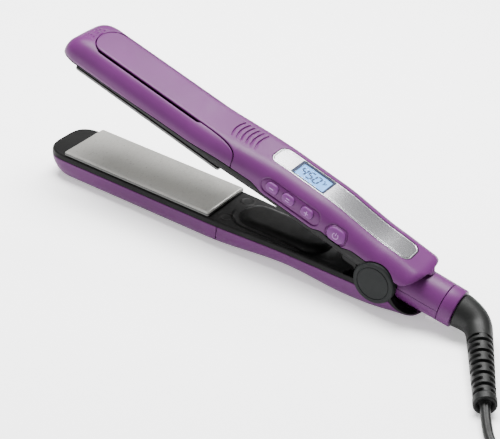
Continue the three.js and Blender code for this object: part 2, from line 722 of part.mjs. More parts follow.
function addUpperArm(group) {
  const form = armForm(UPPER);
  const inset = PANEL.thick + CLEAR;
  const windowAt = (grow) => roundedRect(
    WINDOW.start - grow, WINDOW.end + grow, -WINDOW.half - grow, WINDOW.half + grow, 1.2,
  );
  const barrelRoom = barrelFrame(
    turned([[0, 4], [BARREL_RADII[0] + 0.8, 4], [BARREL_RADII[0] + 0.8, 70], [0, 70], [0, 4]], 32),
    BARREL_TILT - OPEN_ANGLE,
  );
  const panelSeat = prism(panelShape(CLEAR), 8, 60, 6).intersect(layer(form, -5, inset));
  const windowHole = prism(windowAt(-1), 14, 60);
  const holes = buttons.map((b) => slab(pill(b.x, b.z, b.size, CLEAR), -30, -8, 4));
  const shell = cut(coverShell(UPPER, form), panelSeat, windowHole, barrelRoom, ...holes);
  const covers = splitCovers(UPPER, shell);
  add(group, 'upper_front_cover', covers.front, PURPLE());
  add(group, 'upper_rear_cover', covers.rear, PURPLE());

  const lugRoom = block([HINGE_X - 14, -LOWER_LUG[1] - CLEAR, -10], [HINGE_X + 40, LOWER_LUG[1] + CLEAR, 40]);
  const capRoom = capNotches();
  const frame = cut(frameShell(UPPER, form), screwHoles(faceZ + frameThick + 6), lugRoom, capRoom, barrelRoom);
  const rimHere = along(UPPER.rim, HINGE_X);
  const lugs = [1, -1].map((side) => lug(side, UPPER_LUG, [0, rimHere - 1], 16));
  const whole = cut(join(frame, ...lugs), pinHole(), barrelRoom);
  add(group, 'upper_inner_frame', whole, BLACK());

  const skinLayer = layer(form, 0, PANEL.thick);
  const panel = cut(prism(panelShape(0), 8, 60, 6).intersect(skinLayer), prism(windowAt(0), 8, 60));
  add(group, 'control_panel', panel, SILVER());
  add(group, 'display_lens', prism(windowAt(-CLEAR), 8, 60).intersect(skinLayer), paint(0x9cc4e8, 0.12));

  const boardBox = [[BOARD.start, -BOARD.half, BOARD.z], [BOARD.end, BOARD.half, BOARD.z + BOARD.thick]];
  add(group, 'main_board', block(...boardBox), paint(0x2f6b45, 0.6));
  const moduleZ = BOARD.z + BOARD.thick + CLEAR;
  add(group, 'display_module', block(
    [WINDOW.start + 0.5, -WINDOW.half, moduleZ], [WINDOW.end - 0.5, WINDOW.half, moduleZ + MODULE_HEIGHT],
  ), paint(0xd8dde0, 0.5));
  addPlateSet(group, 'upper');
  for (const b of buttons) add(group, b.name, buttonBody(b, form), paint(0x8a5699, 0.45));
}

function addLowerArm(group) {
  const form = armForm(LOWER);
  const troughRadius = BARREL_RADII[0] + 1.6;
  const trough = barrelFrame(
    turned([[0, 10], [troughRadius, 10], [troughRadius, 80], [0, 80], [0, 10]], 32), -BARREL_TILT,
  );
  const opening = block([HINGE_X + 12, -troughRadius + 0.5, -10], [HINGE_X + 60, troughRadius - 0.5, 4]);
  const shell = cut(coverShell(LOWER, form), trough, opening, coverScrewHole(1), coverScrewHole(-1));
  const covers = splitCovers(LOWER, shell);
  add(group, 'lower_front_cover', covers.front, PURPLE());
  add(group, 'lower_rear_cover', covers.rear, PURPLE());

  const bossRoom = bossBody(-BOSS.wall, BOSS.height, faceZ + frameThick + 1);
  const middle = block([HINGE_X - 15, -LOWER_LUG[0] + 0.2, -10], [HINGE_X + 20, LOWER_LUG[0] - 0.2, 40]);
  const upperLugRoom = (side) => {
    const ys = [side * (UPPER_LUG[0] - 0.25), side * (UPPER_LUG[1] + 0.4)].sort((a, b) => a - b);
    return join(
      barY(LUG_RADIUS + 0.6, ys[0], ys[1], HINGE_X, 0, 24),
      block([HINGE_X - 19, ys[0], -10], [HINGE_X, ys[1], faceZ + frameThick + 0.5]),
      block([HINGE_X - 3, ys[0], -10], [HINGE_X + LUG_RADIUS + 1, ys[1], faceZ + frameThick + 4]),
    );
  };
  const frame = cut(
    join(frameShell(LOWER, form), bossBody(0, BOSS.height, faceZ + 1)), bossRoom, screwHoles(faceZ + frameThick + 6), middle,
    upperLugRoom(1), upperLugRoom(-1), capNotches(), trough, opening,
  );
  const lugs = [1, -1].map((side) => lug(side, LOWER_LUG, [0.5, faceZ + 1.5], 22));
  const posts = [1, -1].map((side) => coverScrewPost(side));
  const bores = [1, -1].map((side) => coverScrewBore(side));
  add(group, 'lower_inner_frame', cut(join(frame, ...lugs, ...posts), pinHole(), trough, ...bores), BLACK());
  addPlateSet(group, 'lower');
  add(group, 'cover_screw_a', coverScrew(-1), STEEL());
  add(group, 'cover_screw_b', coverScrew(1), STEEL());
}

// Wire wound round the pin, with one leg along each arm.
function torsionSpring() {
  const [mean, wire] = SPRING_COIL;
  const turns = 3.5;
  const steps = 36;
  const points = [v3(-13, -SPRING_HALF + wire, -mean)];
  for (let k = 0; k <= steps; k++) {
    const turn = -Math.PI / 2 - (k / steps) * turns * Math.PI * 2;
    const y = THREE.MathUtils.lerp(-SPRING_HALF + wire, SPRING_HALF - wire, k / steps);
    points.push(v3(mean * Math.cos(turn), y, mean * Math.sin(turn)));
  }
  points.push(v3(-13, SPRING_HALF - wire, mean));
  const body = tube(curveOf(points), () => wire, 5, 60);
  body.translate(HINGE_X, 0, 0);
  return body;
}

// ---------- hinge and barrel, placed in the lower arm's upright frame ----------
function addHinge(group) {
  const half = CAP_FACE - CAP_THICK - CLEAR;
  add(group, 'hinge_pin', barY(PIN_RADIUS, -half, half, HINGE_X, 0, 20), STEEL());
  [['near', -1], ['far', 1]].forEach(([place, side]) => {
    const ys = [side * (CAP_FACE - CAP_THICK), side * CAP_FACE].sort((a, b) => a - b);
    const disc = barY(CAP_RADIUS, ys[0], ys[1], HINGE_X, 0, 36);
    add(group, `hinge_cap_${place}`, disc, CHARCOAL());
  });
  add(group, 'torsion_spring', torsionSpring(), STEEL());
}

function addBarrel(group) {
  add(group, 'barrel_upper', barrelHalf(true), PURPLE());
  add(group, 'barrel_lower', join(barrelHalf(false), tang()), PURPLE());
  add(group, 'barrel_collar', collarBody(), PURPLE());
  add(group, 'swivel_neck', neckBody(), BLACK());
}

function addCord(group) {
  add(group, 'swivel_elbow', elbowBody(), RUBBER());
  add(group, 'strain_relief', reliefBody(), RUBBER());
  add(group, 'power_cord', cordBody(cordPoints, 16), RUBBER());
  add(group, 'cord_coil', coilBody(), RUBBER());
  add(group, 'cord_tail', cordBody(tailPoints, 3), RUBBER());
  add(group, 'plug_body', plugBody(), RUBBER());
  add(group, 'plug_blade_a', bladeBody(-1), STEEL());
  add(group, 'plug_blade_b', bladeBody(1), STEEL());
}

// ---------- the whole object ----------
const straightener = new THREE.Group();
const body = new THREE.Group();
straightener.add(body);

const lowerArm = new THREE.Group();
lowerArm.rotation.x = Math.PI;
addLowerArm(lowerArm);
body.add(lowerArm);

const upperPivot = new THREE.Group();
upperPivot.position.x = HINGE_X;
upperPivot.rotation.y = rad(OPEN_ANGLE);
const upperArm = new THREE.Group();
upperArm.position.x = -HINGE_X;
addUpperArm(upperArm);
upperPivot.add(upperArm);
body.add(upperPivot);

addHinge(body);
const barrel = new THREE.Group();
barrel.position.x = HINGE_X;
barrel.rotation.y = rad(BARREL_TILT);
addBarrel(barrel);
body.add(barrel);
addCord(body);

// The origin is under the middle of the object, on the surface that it lies on.
const collarRim = BARREL_RADII[1] - COLLAR_CHAMFER;
const rearX = HINGE_X + Math.cos(rad(BARREL_TILT)) * collarEnd + Math.sin(rad(BARREL_TILT)) * collarRim;
body.position.set(-(FRONT + rearX) / 2, 0, -floorZ);

export default straightener;
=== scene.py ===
import json
import logging
import math
from dataclasses import dataclass
from enum import Enum
from typing import Any, Callable, Sequence

import bmesh
import bpy
import numpy as np
from mathutils import Matrix, Vector

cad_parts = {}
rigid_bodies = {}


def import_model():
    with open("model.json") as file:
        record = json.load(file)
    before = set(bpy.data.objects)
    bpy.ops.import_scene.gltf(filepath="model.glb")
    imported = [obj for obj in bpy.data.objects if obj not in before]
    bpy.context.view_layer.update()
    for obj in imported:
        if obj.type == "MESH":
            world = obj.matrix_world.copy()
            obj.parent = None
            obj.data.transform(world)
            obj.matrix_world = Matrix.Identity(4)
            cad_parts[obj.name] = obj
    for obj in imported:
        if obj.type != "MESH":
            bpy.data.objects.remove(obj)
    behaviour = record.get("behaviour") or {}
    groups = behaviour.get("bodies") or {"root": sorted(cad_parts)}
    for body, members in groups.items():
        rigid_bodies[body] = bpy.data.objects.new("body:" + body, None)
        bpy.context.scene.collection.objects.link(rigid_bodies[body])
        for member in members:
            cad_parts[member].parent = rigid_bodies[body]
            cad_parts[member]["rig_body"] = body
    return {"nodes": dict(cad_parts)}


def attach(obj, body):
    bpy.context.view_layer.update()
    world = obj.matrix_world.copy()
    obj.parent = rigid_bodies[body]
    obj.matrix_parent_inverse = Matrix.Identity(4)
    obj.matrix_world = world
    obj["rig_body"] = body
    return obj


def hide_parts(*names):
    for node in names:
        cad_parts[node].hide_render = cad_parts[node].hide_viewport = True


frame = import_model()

LOG = logging.getLogger("straightener")
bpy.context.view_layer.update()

MM = 0.001
CLEAR = 0.3
WALL = 2.0
FACE_Z = 3.2
FRONT = -15.6
NOSE_LENGTH = 18.6
NOSE_END = FRONT + NOSE_LENGTH
HINGE_X = 221.6
OPEN_ANGLE = math.radians(15.6)
BARREL_TILT = math.radians(9.0)
ROW_SHIFT = np.array([-126.457, 0.0, 21.0])
FLOOR_Z = -21.0
PART_X = 116.6
FLARE_START = 86.0
FLARE_LENGTH = 30.6
TONGUE_TIP = 0.6
SCREW_X = 118.0
SCREW_Y = 11.2
SIDES = (-1, 1)
TONGUE_HALF = 12.4
TIP_ROUND = 0.75
SKIRT = 1.6
CORNER = 10.0
CAP_ROOM = 13.35
Array = np.ndarray
Pair = tuple[float, float]
Triple = tuple[float, float, float]
Rgba = tuple[float, float, float, float]


# ---------- places ----------
class Pose(Enum):
    """The frame that a shape is drawn in."""

    BASE = "upright frame of the lower arm"
    LOWER = "lower arm, turned over"
    UPPER = "upper arm, open on its hinge"
    BARREL = "along the tilted barrel from the hinge axis"


def turn_y(points: Array, angle: float) -> Array:
    """Turns points about the y axis.

    Args:
        points: (..., 3) millimetres.
        angle: radians, x towards -z.

    Returns:
        x' = x cos a + z sin a, z' = -x sin a + z cos a.
    """
    x, y, z = np.moveaxis(points, -1, 0)
    c, s = math.cos(angle), math.sin(angle)
    return np.stack([x * c + z * s, y, z * c - x * s], -1)


def placed(points: Array, pose: Pose) -> Array:
    """Puts drawn points in the row frame.

    Args:
        points: (..., 3) millimetres in the pose's own frame.
        pose: which frame they are drawn in.

    Returns:
        (..., 3) metres in the row frame.
    """
    hinge = np.array([HINGE_X, 0.0, 0.0])
    if pose is Pose.LOWER:
        points = points * np.array([1.0, -1.0, -1.0])
    elif pose is Pose.UPPER:
        points = turn_y(points - hinge, OPEN_ANGLE) + hinge
    elif pose is Pose.BARREL:
        points = turn_y(points, BARREL_TILT) + hinge
    return (points + ROW_SHIFT) * MM


# ---------- numbers ----------
def ramp(low: float, high: float, value: Array) -> Array:
    """Smooth step: 3t^2 - 2t^3 with t running 0 to 1 from low to high."""
    t = np.clip((value - low) / (high - low), 0.0, 1.0)
    return t * t * (3.0 - 2.0 * t)


def along(stations: Sequence[Pair], x: Array) -> Array:
    """Smooth-stepped value through (x, value) stations, level at each station."""
    xs = np.array([s[0] for s in stations], float)
    vs = np.array([s[1] for s in stations], float)
    x = np.clip(np.asarray(x, float), xs[0], xs[-1])
    k = np.clip(np.searchsorted(xs, x, side="right") - 1, 0, len(xs) - 2)
    t = (x - xs[k]) / (xs[k + 1] - xs[k])
    return vs[k] + (vs[k + 1] - vs[k]) * t * t * (3.0 - 2.0 * t)


def stadium(u: Array, v: Array, half_length: float, radius: float) -> Array:
    """Signed distance to a round-ended bar: hypot(max(|u| - l, 0), v) - r."""
    return np.hypot(np.maximum(np.abs(u) - half_length, 0.0), v) - radius


def rounded_box(u: Array, v: Array, half: Pair, radius: float) -> Array:
    """Signed distance to a rounded rectangle: |max(q, 0)| + min(max(q), 0) - r, with q = |p| - h + r."""
    qu = np.abs(u) - half[0] + radius
    qv = np.abs(v) - half[1] + radius
    outside = np.hypot(np.maximum(qu, 0.0), np.maximum(qv, 0.0))
    return outside + np.minimum(np.maximum(qu, qv), 0.0) - radius


def fillet(distance: Array, radius: float) -> Array:
    """Fall of a rounded edge at a distance from it: r - sqrt(r^2 - (r - d)^2)."""
    d = np.clip(distance, 0.0, radius)
    return radius - np.sqrt(np.maximum(radius * radius - (radius - d) ** 2, 0.0))


def stations(*runs: Triple) -> Array:
    """Joins (start, end, step) runs into one rising row of places."""
    parts = [np.linspace(a, b, max(2, int(round((b - a) / step)) + 1)) for a, b, step in runs]
    merged = np.sort(np.concatenate(parts))
    keep = np.concatenate([[True], np.diff(merged) > 0.02])
    return merged[keep]


# ---------- meshes ----------
@dataclass
class Shell:
    """A patch of faces over shared points."""

    points: Array
    faces: list[tuple[int, ...]]


def grid(points: Array, wrap: bool = False, caps: bool = False) -> Shell:
    """Faces over a grid of points, rows along axis 0 and columns along axis 1.

    Args:
        points: (rows, columns, 3).
        wrap: joins the last column to the first.
        caps: closes the first and last row with one face each, for wrapped grids.

    Returns:
        The shell.
    """
    rows, columns = points.shape[:2]
    index = np.arange(rows * columns).reshape(rows, columns)
    if wrap:
        index = np.concatenate([index, index[:, :1]], 1)
    quads = np.stack([index[:-1, :-1], index[1:, :-1], index[1:, 1:], index[:-1, 1:]], -1)
    faces = [tuple(q) for q in quads.reshape(-1, 4).tolist()]
    if caps:
        faces.append(tuple(range(columns)))
        faces.append(tuple(range((rows - 1) * columns, rows * columns))[::-1])
    return Shell(points.reshape(-1, 3), faces)


def facing_out(shell: Shell) -> Shell:
    """The patch, turned round if its faces look towards the arm's middle line on the whole.

    The sum over faces of (diagonal 1 x diagonal 2) . (0, y, z) is positive when they look out.
    """
    quads = np.array(shell.faces)
    a, b, c, d = (shell.points[quads[:, k]] for k in range(4))
    normal = np.cross(c - a, d - b)
    if (normal[:, 1:] * a[:, 1:]).sum() >= 0:
        return shell
    return Shell(shell.points, [face[::-1] for face in shell.faces])


def prism(outline: Array, low: float, high: float) -> Shell:
    """Closed prism: an outline in x and y raised from z low to z high."""
    rings = [np.column_stack([outline, np.full(len(outline), z)]) for z in (low, high)]
    return grid(np.stack(rings), wrap=True, caps=True)


def box_outline(x0: float, x1: float, y0: float, y1: float, radius: float, steps: int = 10) -> Array:
    """Rounded rectangle as (n, 2): a quarter circle of the radius at each corner."""
    turns = np.linspace(0.0, math.pi / 2, steps)
    left, right, low, high = x0 + radius, x1 - radius, y0 + radius, y1 - radius
    parts = []
    for k, (cx, cy) in enumerate(((right, high), (left, high), (left, low), (right, low))):
        turn = turns + k * math.pi / 2
        parts.append(np.column_stack([cx + radius * np.cos(turn), cy + radius * np.sin(turn)]))
    return np.concatenate(parts)


def band(side: float, near: float, far: float) -> Pair:
    """Range from near to far on one side of the middle, lower value first."""
    return min(side * near, side * far), max(side * near, side * far)


def turned(profile: Sequence[Pair], steps: int = 96, span: Pair | None = None) -> Shell:
    """Turned shape about the x axis from a closed profile of (distance, radius) pairs.

    Args:
        profile: the closed outline.
        steps: divisions round the axis.
        span: angles in radians where it starts and ends, or None for a whole turn.

    Returns:
        Points (d, r cos t, r sin t).
    """
    outline = np.array(profile, float)
    if span is None:
        turns = np.linspace(0.0, 2 * math.pi, steps, endpoint=False)
    else:
        turns = np.linspace(span[0], span[1], steps)
    d, r = outline[:, 0], outline[:, 1]
    points = np.stack([
        np.broadcast_to(d, (len(turns), len(d))), r * np.cos(turns)[:, None], r * np.sin(turns)[:, None],
    ], -1)
    if span is None:
        return grid(np.concatenate([points, points[:1]]), wrap=True)
    return grid(points, wrap=True, caps=True)


def about_y(shell: Shell, x: float, z: float) -> Shell:
    """Turns a shape drawn about the x axis so that it stands about the y axis at (x, z)."""
    d, u, v = shell.points.T
    return Shell(np.column_stack([u + x, d, v + z]), shell.faces)


def about_z(shell: Shell, x: float, y: float) -> Shell:
    """Turns a shape drawn about the x axis so that it stands about the z axis at (x, y)."""
    d, u, v = shell.points.T
    return Shell(np.column_stack([u + x, v + y, d]), shell.faces)


def rounded(profile: Sequence[Pair], radius: float, steps: int = 4) -> list[Pair]:
    """Rounds each corner of a closed outline with a quadratic curve through its corner point."""
    points = np.array(profile, float)
    out: list[Pair] = []
    for k, corner in enumerate(points):
        before, after = points[k - 1] - corner, points[(k + 1) % len(points)] - corner
        a = corner + before * min(0.45, radius / max(np.hypot(*before), 1e-6))
        b = corner + after * min(0.45, radius / max(np.hypot(*after), 1e-6))
        for t in np.linspace(0.0, 1.0, steps):
            out.append(tuple((1 - t) ** 2 * a + 2 * t * (1 - t) * corner + t * t * b))
    return out


def mesh_from(name: str, shells: Sequence[Shell], pose: Pose, closed: bool = True) -> bpy.types.Object:
    """Makes one object from shells.

    Args:
        name: the object's name.
        shells: its patches.
        pose: the frame that they are drawn in.
        closed: recalculates the normals, for shapes that are shut.

    Returns:
        The object, at the origin, with its place in its mesh.
    """
    points, faces, offset = [], [], 0
    for shell in shells:
        points.append(placed(shell.points, pose))
        faces.extend(tuple(i + offset for i in face) for face in shell.faces)
        offset += len(shell.points)
    mesh = bpy.data.meshes.new(name)
    mesh.from_pydata(np.concatenate(points).tolist(), [], faces)
    work = bmesh.new()
    work.from_mesh(mesh)
    bmesh.ops.remove_doubles(work, verts=work.verts, dist=2e-6)
    bmesh.ops.dissolve_degenerate(work, edges=work.edges, dist=1e-6)
    if closed:
        bmesh.ops.recalc_face_normals(work, faces=work.faces)
    work.to_mesh(mesh)
    work.free()
    obj = bpy.data.objects.new(name, mesh)
    bpy.context.scene.collection.objects.link(obj)
    return obj


def settle(obj: bpy.types.Object) -> None:
    """Turns an object's modifiers into its own mesh."""
    bpy.context.view_layer.update()
    evaluated = obj.evaluated_get(bpy.context.evaluated_depsgraph_get())
    mesh = bpy.data.meshes.new_from_object(evaluated)
    obj.modifiers.clear()
    old, obj.data = obj.data, mesh
    bpy.data.meshes.remove(old)


def thicken(obj: bpy.types.Object, wall: float) -> None:
    """Gives an open skin its wall, inwards, in millimetres."""
    solidify = obj.modifiers.new("wall", "SOLIDIFY")
    solidify.thickness = wall * MM
    solidify.offset = -1.0
    settle(obj)


def carve(obj: bpy.types.Object, cutters: Sequence[Shell], pose: Pose) -> None:
    """Takes closed shells that don't overlap each other out of an object."""
    tool = mesh_from("cutter", cutters, pose)
    boolean = obj.modifiers.new("cut", "BOOLEAN")
    boolean.operation = "DIFFERENCE"
    boolean.solver = "MANIFOLD"
    boolean.object = tool
    settle(obj)
    bpy.data.objects.remove(tool)


def smooth(obj: bpy.types.Object, degrees: float = 32.0) -> None:
    """Shades smooth, with edges sharper than the angle left crisp."""
    obj.data.shade_smooth()
    obj.data.set_sharp_from_angle(angle=math.radians(degrees))


# ---------- shader arithmetic ----------
class Value:
    """One shader value; arithmetic on it adds Math nodes."""

    def __init__(self, tree: "Tree", socket: Any) -> None:
        """Keeps the tree and the socket."""
        self.tree = tree
        self.socket = socket

    def _math(self, operation: str, a: Any, b: Any) -> "Value":
        """Adds one Math node."""
        return self.tree.node("ShaderNodeMath", {"operation": operation}, {0: a, 1: b})

    def __add__(self, other: Any) -> "Value":
        """Sum."""
        return self._math("ADD", self, other)

    __radd__ = __add__

    def __sub__(self, other: Any) -> "Value":
        """Difference."""
        return self._math("SUBTRACT", self, other)

    def __rsub__(self, other: Any) -> "Value":
        """Difference from a number."""
        return self._math("SUBTRACT", other, self)

    def __mul__(self, other: Any) -> "Value":
        """Product."""
        return self._math("MULTIPLY", self, other)

    __rmul__ = __mul__

    def __truediv__(self, other: Any) -> "Value":
        """Quotient."""
        return self._math("DIVIDE", self, other)


class Tree:
    """A material's node tree with a Principled surface."""

    def __init__(self, name: str) -> None:
        """Starts an empty material."""
        self.material = bpy.data.materials.new(name)
        self.material.use_nodes = True
        self.tree = self.material.node_tree
        self.tree.nodes.clear()

    def node(self, kind: str, settings: dict[str, Any], inputs: dict[Any, Any], output: Any = 0) -> Value:
        """Adds a node.

        Args:
            kind: its type.
            settings: properties, set first; a list of (place, colour) sets a ramp's stops.
            inputs: socket name or number to a value or a link.
            output: which output to return.

        Returns:
            The output as a value.
        """
        made = self.tree.nodes.new(kind)
        for key, setting in settings.items():
            if key == "stops":
                ramp_stops = made.color_ramp.elements
                while len(ramp_stops) < len(setting):
                    ramp_stops.new(0.5)
                for stop, (place, colour) in zip(ramp_stops, setting):
                    stop.position = place
                    stop.color = colour
            else:
                setattr(made, key, setting)
        for key, value in inputs.items():
            if isinstance(value, Value):
                self.tree.links.new(value.socket, made.inputs[key])
            else:
                made.inputs[key].default_value = value
        return Value(self, made.outputs[output] if len(made.outputs) else None)

    def place(self, scale: Triple = (1, 1, 1)) -> Value:
        """Object coordinates through a Mapping node."""
        where = self.node("ShaderNodeTexCoord", {}, {}, "Object")
        return self.node("ShaderNodeMapping", {}, {"Vector": where, "Scale": scale})

    def noise(
        self, scale: float, detail: float = 3.0, rough: float = 0.55, vector: Value | None = None,
    ) -> Value:
        """Noise from 0 to 1 over Object coordinates."""
        inputs = {"Vector": vector or self.place(), "Scale": scale, "Detail": detail, "Roughness": rough}
        return self.node("ShaderNodeTexNoise", {}, inputs)

    def blend(self, factor: Any, a: Any, b: Any) -> Value:
        """Mix of two colours."""
        return self.node("ShaderNodeMix", {"data_type": "RGBA"}, {0: factor, 6: a, 7: b}, 2)

    def stretch(
        self, value: Value, low: float, high: float, to_low: float = 0.0, to_high: float = 1.0,
    ) -> Value:
        """Value brought from one range to another, held at its ends."""
        settings = {"clamp": True}
        return self.node("ShaderNodeMapRange", settings, {0: value, 1: low, 2: high, 3: to_low, 4: to_high})

    def bump(self, height: Value, distance: float, strength: float = 1.0) -> Value:
        """Bump of a height field, distance in metres."""
        return self.node("ShaderNodeBump", {}, {"Height": height, "Distance": distance, "Strength": strength})

    def surface(self, **sockets: Any) -> bpy.types.Material:
        """Ends the tree in a Principled surface; underscores stand for spaces."""
        named = {key.replace("_", " "): value for key, value in sockets.items()}
        shader = self.node("ShaderNodeBsdfPrincipled", {}, named)
        self.node("ShaderNodeOutputMaterial", {}, {"Surface": shader})
        return self.material


def rgba(red: float, green: float, blue: float) -> Rgba:
    """Linear colour from 0 to 255 display values: ((c + 0.055) / 1.055)^2.4."""
    linear = [((c / 255 + 0.055) / 1.055) ** 2.4 if c > 10 else c / 255 / 12.92 for c in (red, green, blue)]
    return (*linear, 1.0)


# ---------- finishes ----------
@dataclass(frozen=True)
class Moulded:
    """Satin or textured moulded plastic: soft colour drift, fine grain, worn highlights."""

    name: str
    colour: Rgba
    shade: Rgba
    rough: Pair
    grain: float
    depth: float
    coat: float = 0.0
    coat_rough: float = 0.2
    shine: float = 0.25

    def material(self) -> bpy.types.Material:
        """Colour from slow noise, roughness from middle noise, bump from the grain."""
        t = Tree(self.name)
        drift = t.stretch(t.noise(22.0, 4.0), 0.3, 0.7)
        handling = t.stretch(t.noise(90.0, 5.0, 0.65), 0.32, 0.68, self.rough[0], self.rough[1])
        speck = t.noise(self.grain, 2.0, 0.5)
        scuffs = t.noise(14.0, 2.0, 0.5, t.place((14.0, 60.0, 60.0)))
        height = speck + scuffs * 0.35
        return t.surface(
            Base_Color=t.blend(drift, self.shade, self.colour),
            Roughness=handling + t.stretch(speck, 0.4, 0.75) * 0.04,
            Normal=t.bump(height, self.depth),
            Coat_Weight=self.coat, Coat_Roughness=self.coat_rough, Specular_IOR_Level=self.shine,
        )


@dataclass(frozen=True)
class Metal:
    """Metal or metallic paint with brushing or fine casting grain."""

    name: str
    colour: Rgba
    shade: Rgba
    metallic: float
    rough: Pair
    stretch: Triple
    scale: float
    depth: float

    def material(self) -> bpy.types.Material:
        """Streaks along the stretched axis drive colour, roughness and bump."""
        t = Tree(self.name)
        streaks = t.noise(self.scale, 6.0, 0.7, t.place(self.stretch))
        cloud = t.noise(35.0, 3.0)
        mixed = t.stretch(streaks * 0.7 + cloud * 0.3, 0.32, 0.68)
        return t.surface(
            Base_Color=t.blend(mixed, self.shade, self.colour),
            Metallic=self.metallic,
            Roughness=t.stretch(streaks, 0.3, 0.7, self.rough[0], self.rough[1]),
            Normal=t.bump(streaks, self.depth),
        )


@dataclass(frozen=True)
class Glow:
    """Face with a little light of its own, such as a back-lit display: cloudy, with a faint cell pattern."""

    name: str
    colour: Rgba
    shade: Rgba
    power: float

    def material(self) -> bpy.types.Material:
        """Cloudy light with a fine ripple."""
        t = Tree(self.name)
        cloud = t.stretch(t.noise(110.0, 2.0), 0.3, 0.7)
        cells = t.noise(2600.0, 1.0)
        light = t.blend(cloud * 0.8 + cells * 0.2, self.shade, self.colour)
        return t.surface(
            Base_Color=light, Emission_Color=light, Emission_Strength=self.power,
            Roughness=0.45, Specular_IOR_Level=0.1, Normal=t.bump(cells, 0.00001),
        )


@dataclass(frozen=True)
class Clear:
    """Thin clear window with a gloss skin."""

    name: str
    alpha: float

    def material(self) -> bpy.types.Material:
        """Almost see-through, with faint smears in the gloss."""
        t = Tree(self.name)
        smear = t.noise(60.0, 4.0)
        return t.surface(
            Base_Color=t.blend(smear, rgba(200, 220, 236), rgba(228, 238, 246)),
            Roughness=t.stretch(smear, 0.3, 0.7, 0.03, 0.1),
            Alpha=t.stretch(smear, 0.0, 1.0, self.alpha * 0.8, self.alpha * 1.2),
        )


PURPLE = Moulded(
    "purple_plastic", rgba(80, 31, 82), rgba(72, 27, 74),
    (0.36, 0.46), 2600.0, 0.00002, 0.02, 0.25, 0.15,
)
BUTTON = Moulded(
    "button_plastic", rgba(98, 48, 104), rgba(90, 42, 96),
    (0.4, 0.5), 2600.0, 0.00002, shine=0.15,
)
MARK = Moulded("button_marks", rgba(150, 104, 160), rgba(140, 94, 150), (0.4, 0.5), 2600.0, 0.00001)
BLACK = Moulded("black_plastic", rgba(12, 12, 12), rgba(8, 8, 8), (0.42, 0.56), 1500.0, 0.00006, shine=0.12)
CHARCOAL = Moulded(
    "charcoal_plastic", rgba(26, 28, 28), rgba(21, 23, 23),
    (0.5, 0.6), 1300.0, 0.00006, shine=0.1,
)
RUBBER = Moulded("cord_rubber", rgba(18, 19, 18), rgba(13, 14, 13), (0.42, 0.56), 1800.0, 0.00004, shine=0.18)
CERAMIC = Metal(
    "ceramic_plate", rgba(158, 157, 153), rgba(140, 139, 135),
    0.45, (0.26, 0.38), (3.0, 1.0, 1.0), 420.0, 0.00001,
)
EDGE = Metal(
    "plate_edge", rgba(58, 58, 57), rgba(46, 46, 45),
    0.3, (0.34, 0.46), (3.0, 1.0, 1.0), 420.0, 0.00001,
)
SILVER = Metal(
    "silver_panel", rgba(150, 150, 152), rgba(136, 136, 139),
    0.95, (0.24, 0.3), (1.0, 40.0, 40.0), 90.0, 0.0000012,
)
STEEL = Metal(
    "steel", rgba(186, 187, 189), rgba(160, 161, 163),
    1.0, (0.25, 0.4), (1.0, 1.0, 1.0), 500.0, 0.00001,
)
GLOW = Glow("display_light", rgba(96, 150, 208), rgba(78, 132, 194), 0.4)
INK = Moulded("display_ink", rgba(20, 28, 54), rgba(14, 22, 46), (0.5, 0.6), 1500.0, 0.00001, shine=0.1)
TICK = Moulded("display_ticks", rgba(236, 242, 248), rgba(222, 232, 242), (0.5, 0.6), 1500.0, 0.00001)
GLASS = Clear("display_window", 0.012)
BOARD = Moulded("board", rgba(47, 107, 69), rgba(38, 92, 58), (0.4, 0.5), 900.0, 0.00003)
FLOOR = Glow("studio_floor", rgba(252, 252, 252), rgba(250, 250, 251), 0.5)
_made: dict[str, bpy.types.Material] = {}


def material_of(finish: Any) -> bpy.types.Material:
    """The finish's material, made once."""
    if finish.name not in _made:
        _made[finish.name] = finish.material()
    return _made[finish.name]


def dress(
    obj: bpy.types.Object, finish: Any, nodes: Sequence[str], body: str | None = None, angle: float = 32.0,
) -> None:
    """Gives a piece its finish and its body, and hides the CAD nodes that it stands for.

    Args:
        obj: the piece.
        finish: one of the finishes above.
        nodes: CAD nodes that it stands for.
        body: the body that it rides on, or None for its first node's body.
        angle: edges sharper than this stay crisp.
    """
    smooth(obj, angle)
    if not any(obj.data.materials):
        obj.data.materials.clear()
        obj.data.materials.append(material_of(finish))
    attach(obj, body or frame["nodes"][nodes[0]]["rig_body"])
    if nodes:
        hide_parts(*nodes)
    LOG.info("%s: %d faces", obj.name, len(obj.data.polygons))


def merged(name: str, parts: Sequence[tuple[bpy.types.Object, Any]]) -> bpy.types.Object:
    """Joins objects, each with its own finish, into one piece."""
    work = bmesh.new()
    mesh = bpy.data.meshes.new(name)
    for k, (part, finish) in enumerate(parts):
        mesh.materials.append(material_of(finish))
        start = len(work.faces)
        work.from_mesh(part.data)
        work.faces.ensure_lookup_table()
        for face in work.faces[start:]:
            face.material_index = k
        bpy.data.objects.remove(part)
    bmesh.ops.remove_doubles(work, verts=work.verts, dist=1e-8)
    work.to_mesh(mesh)
    work.free()
    obj = bpy.data.objects.new(name, mesh)
    bpy.context.scene.collection.objects.link(obj)
    return obj


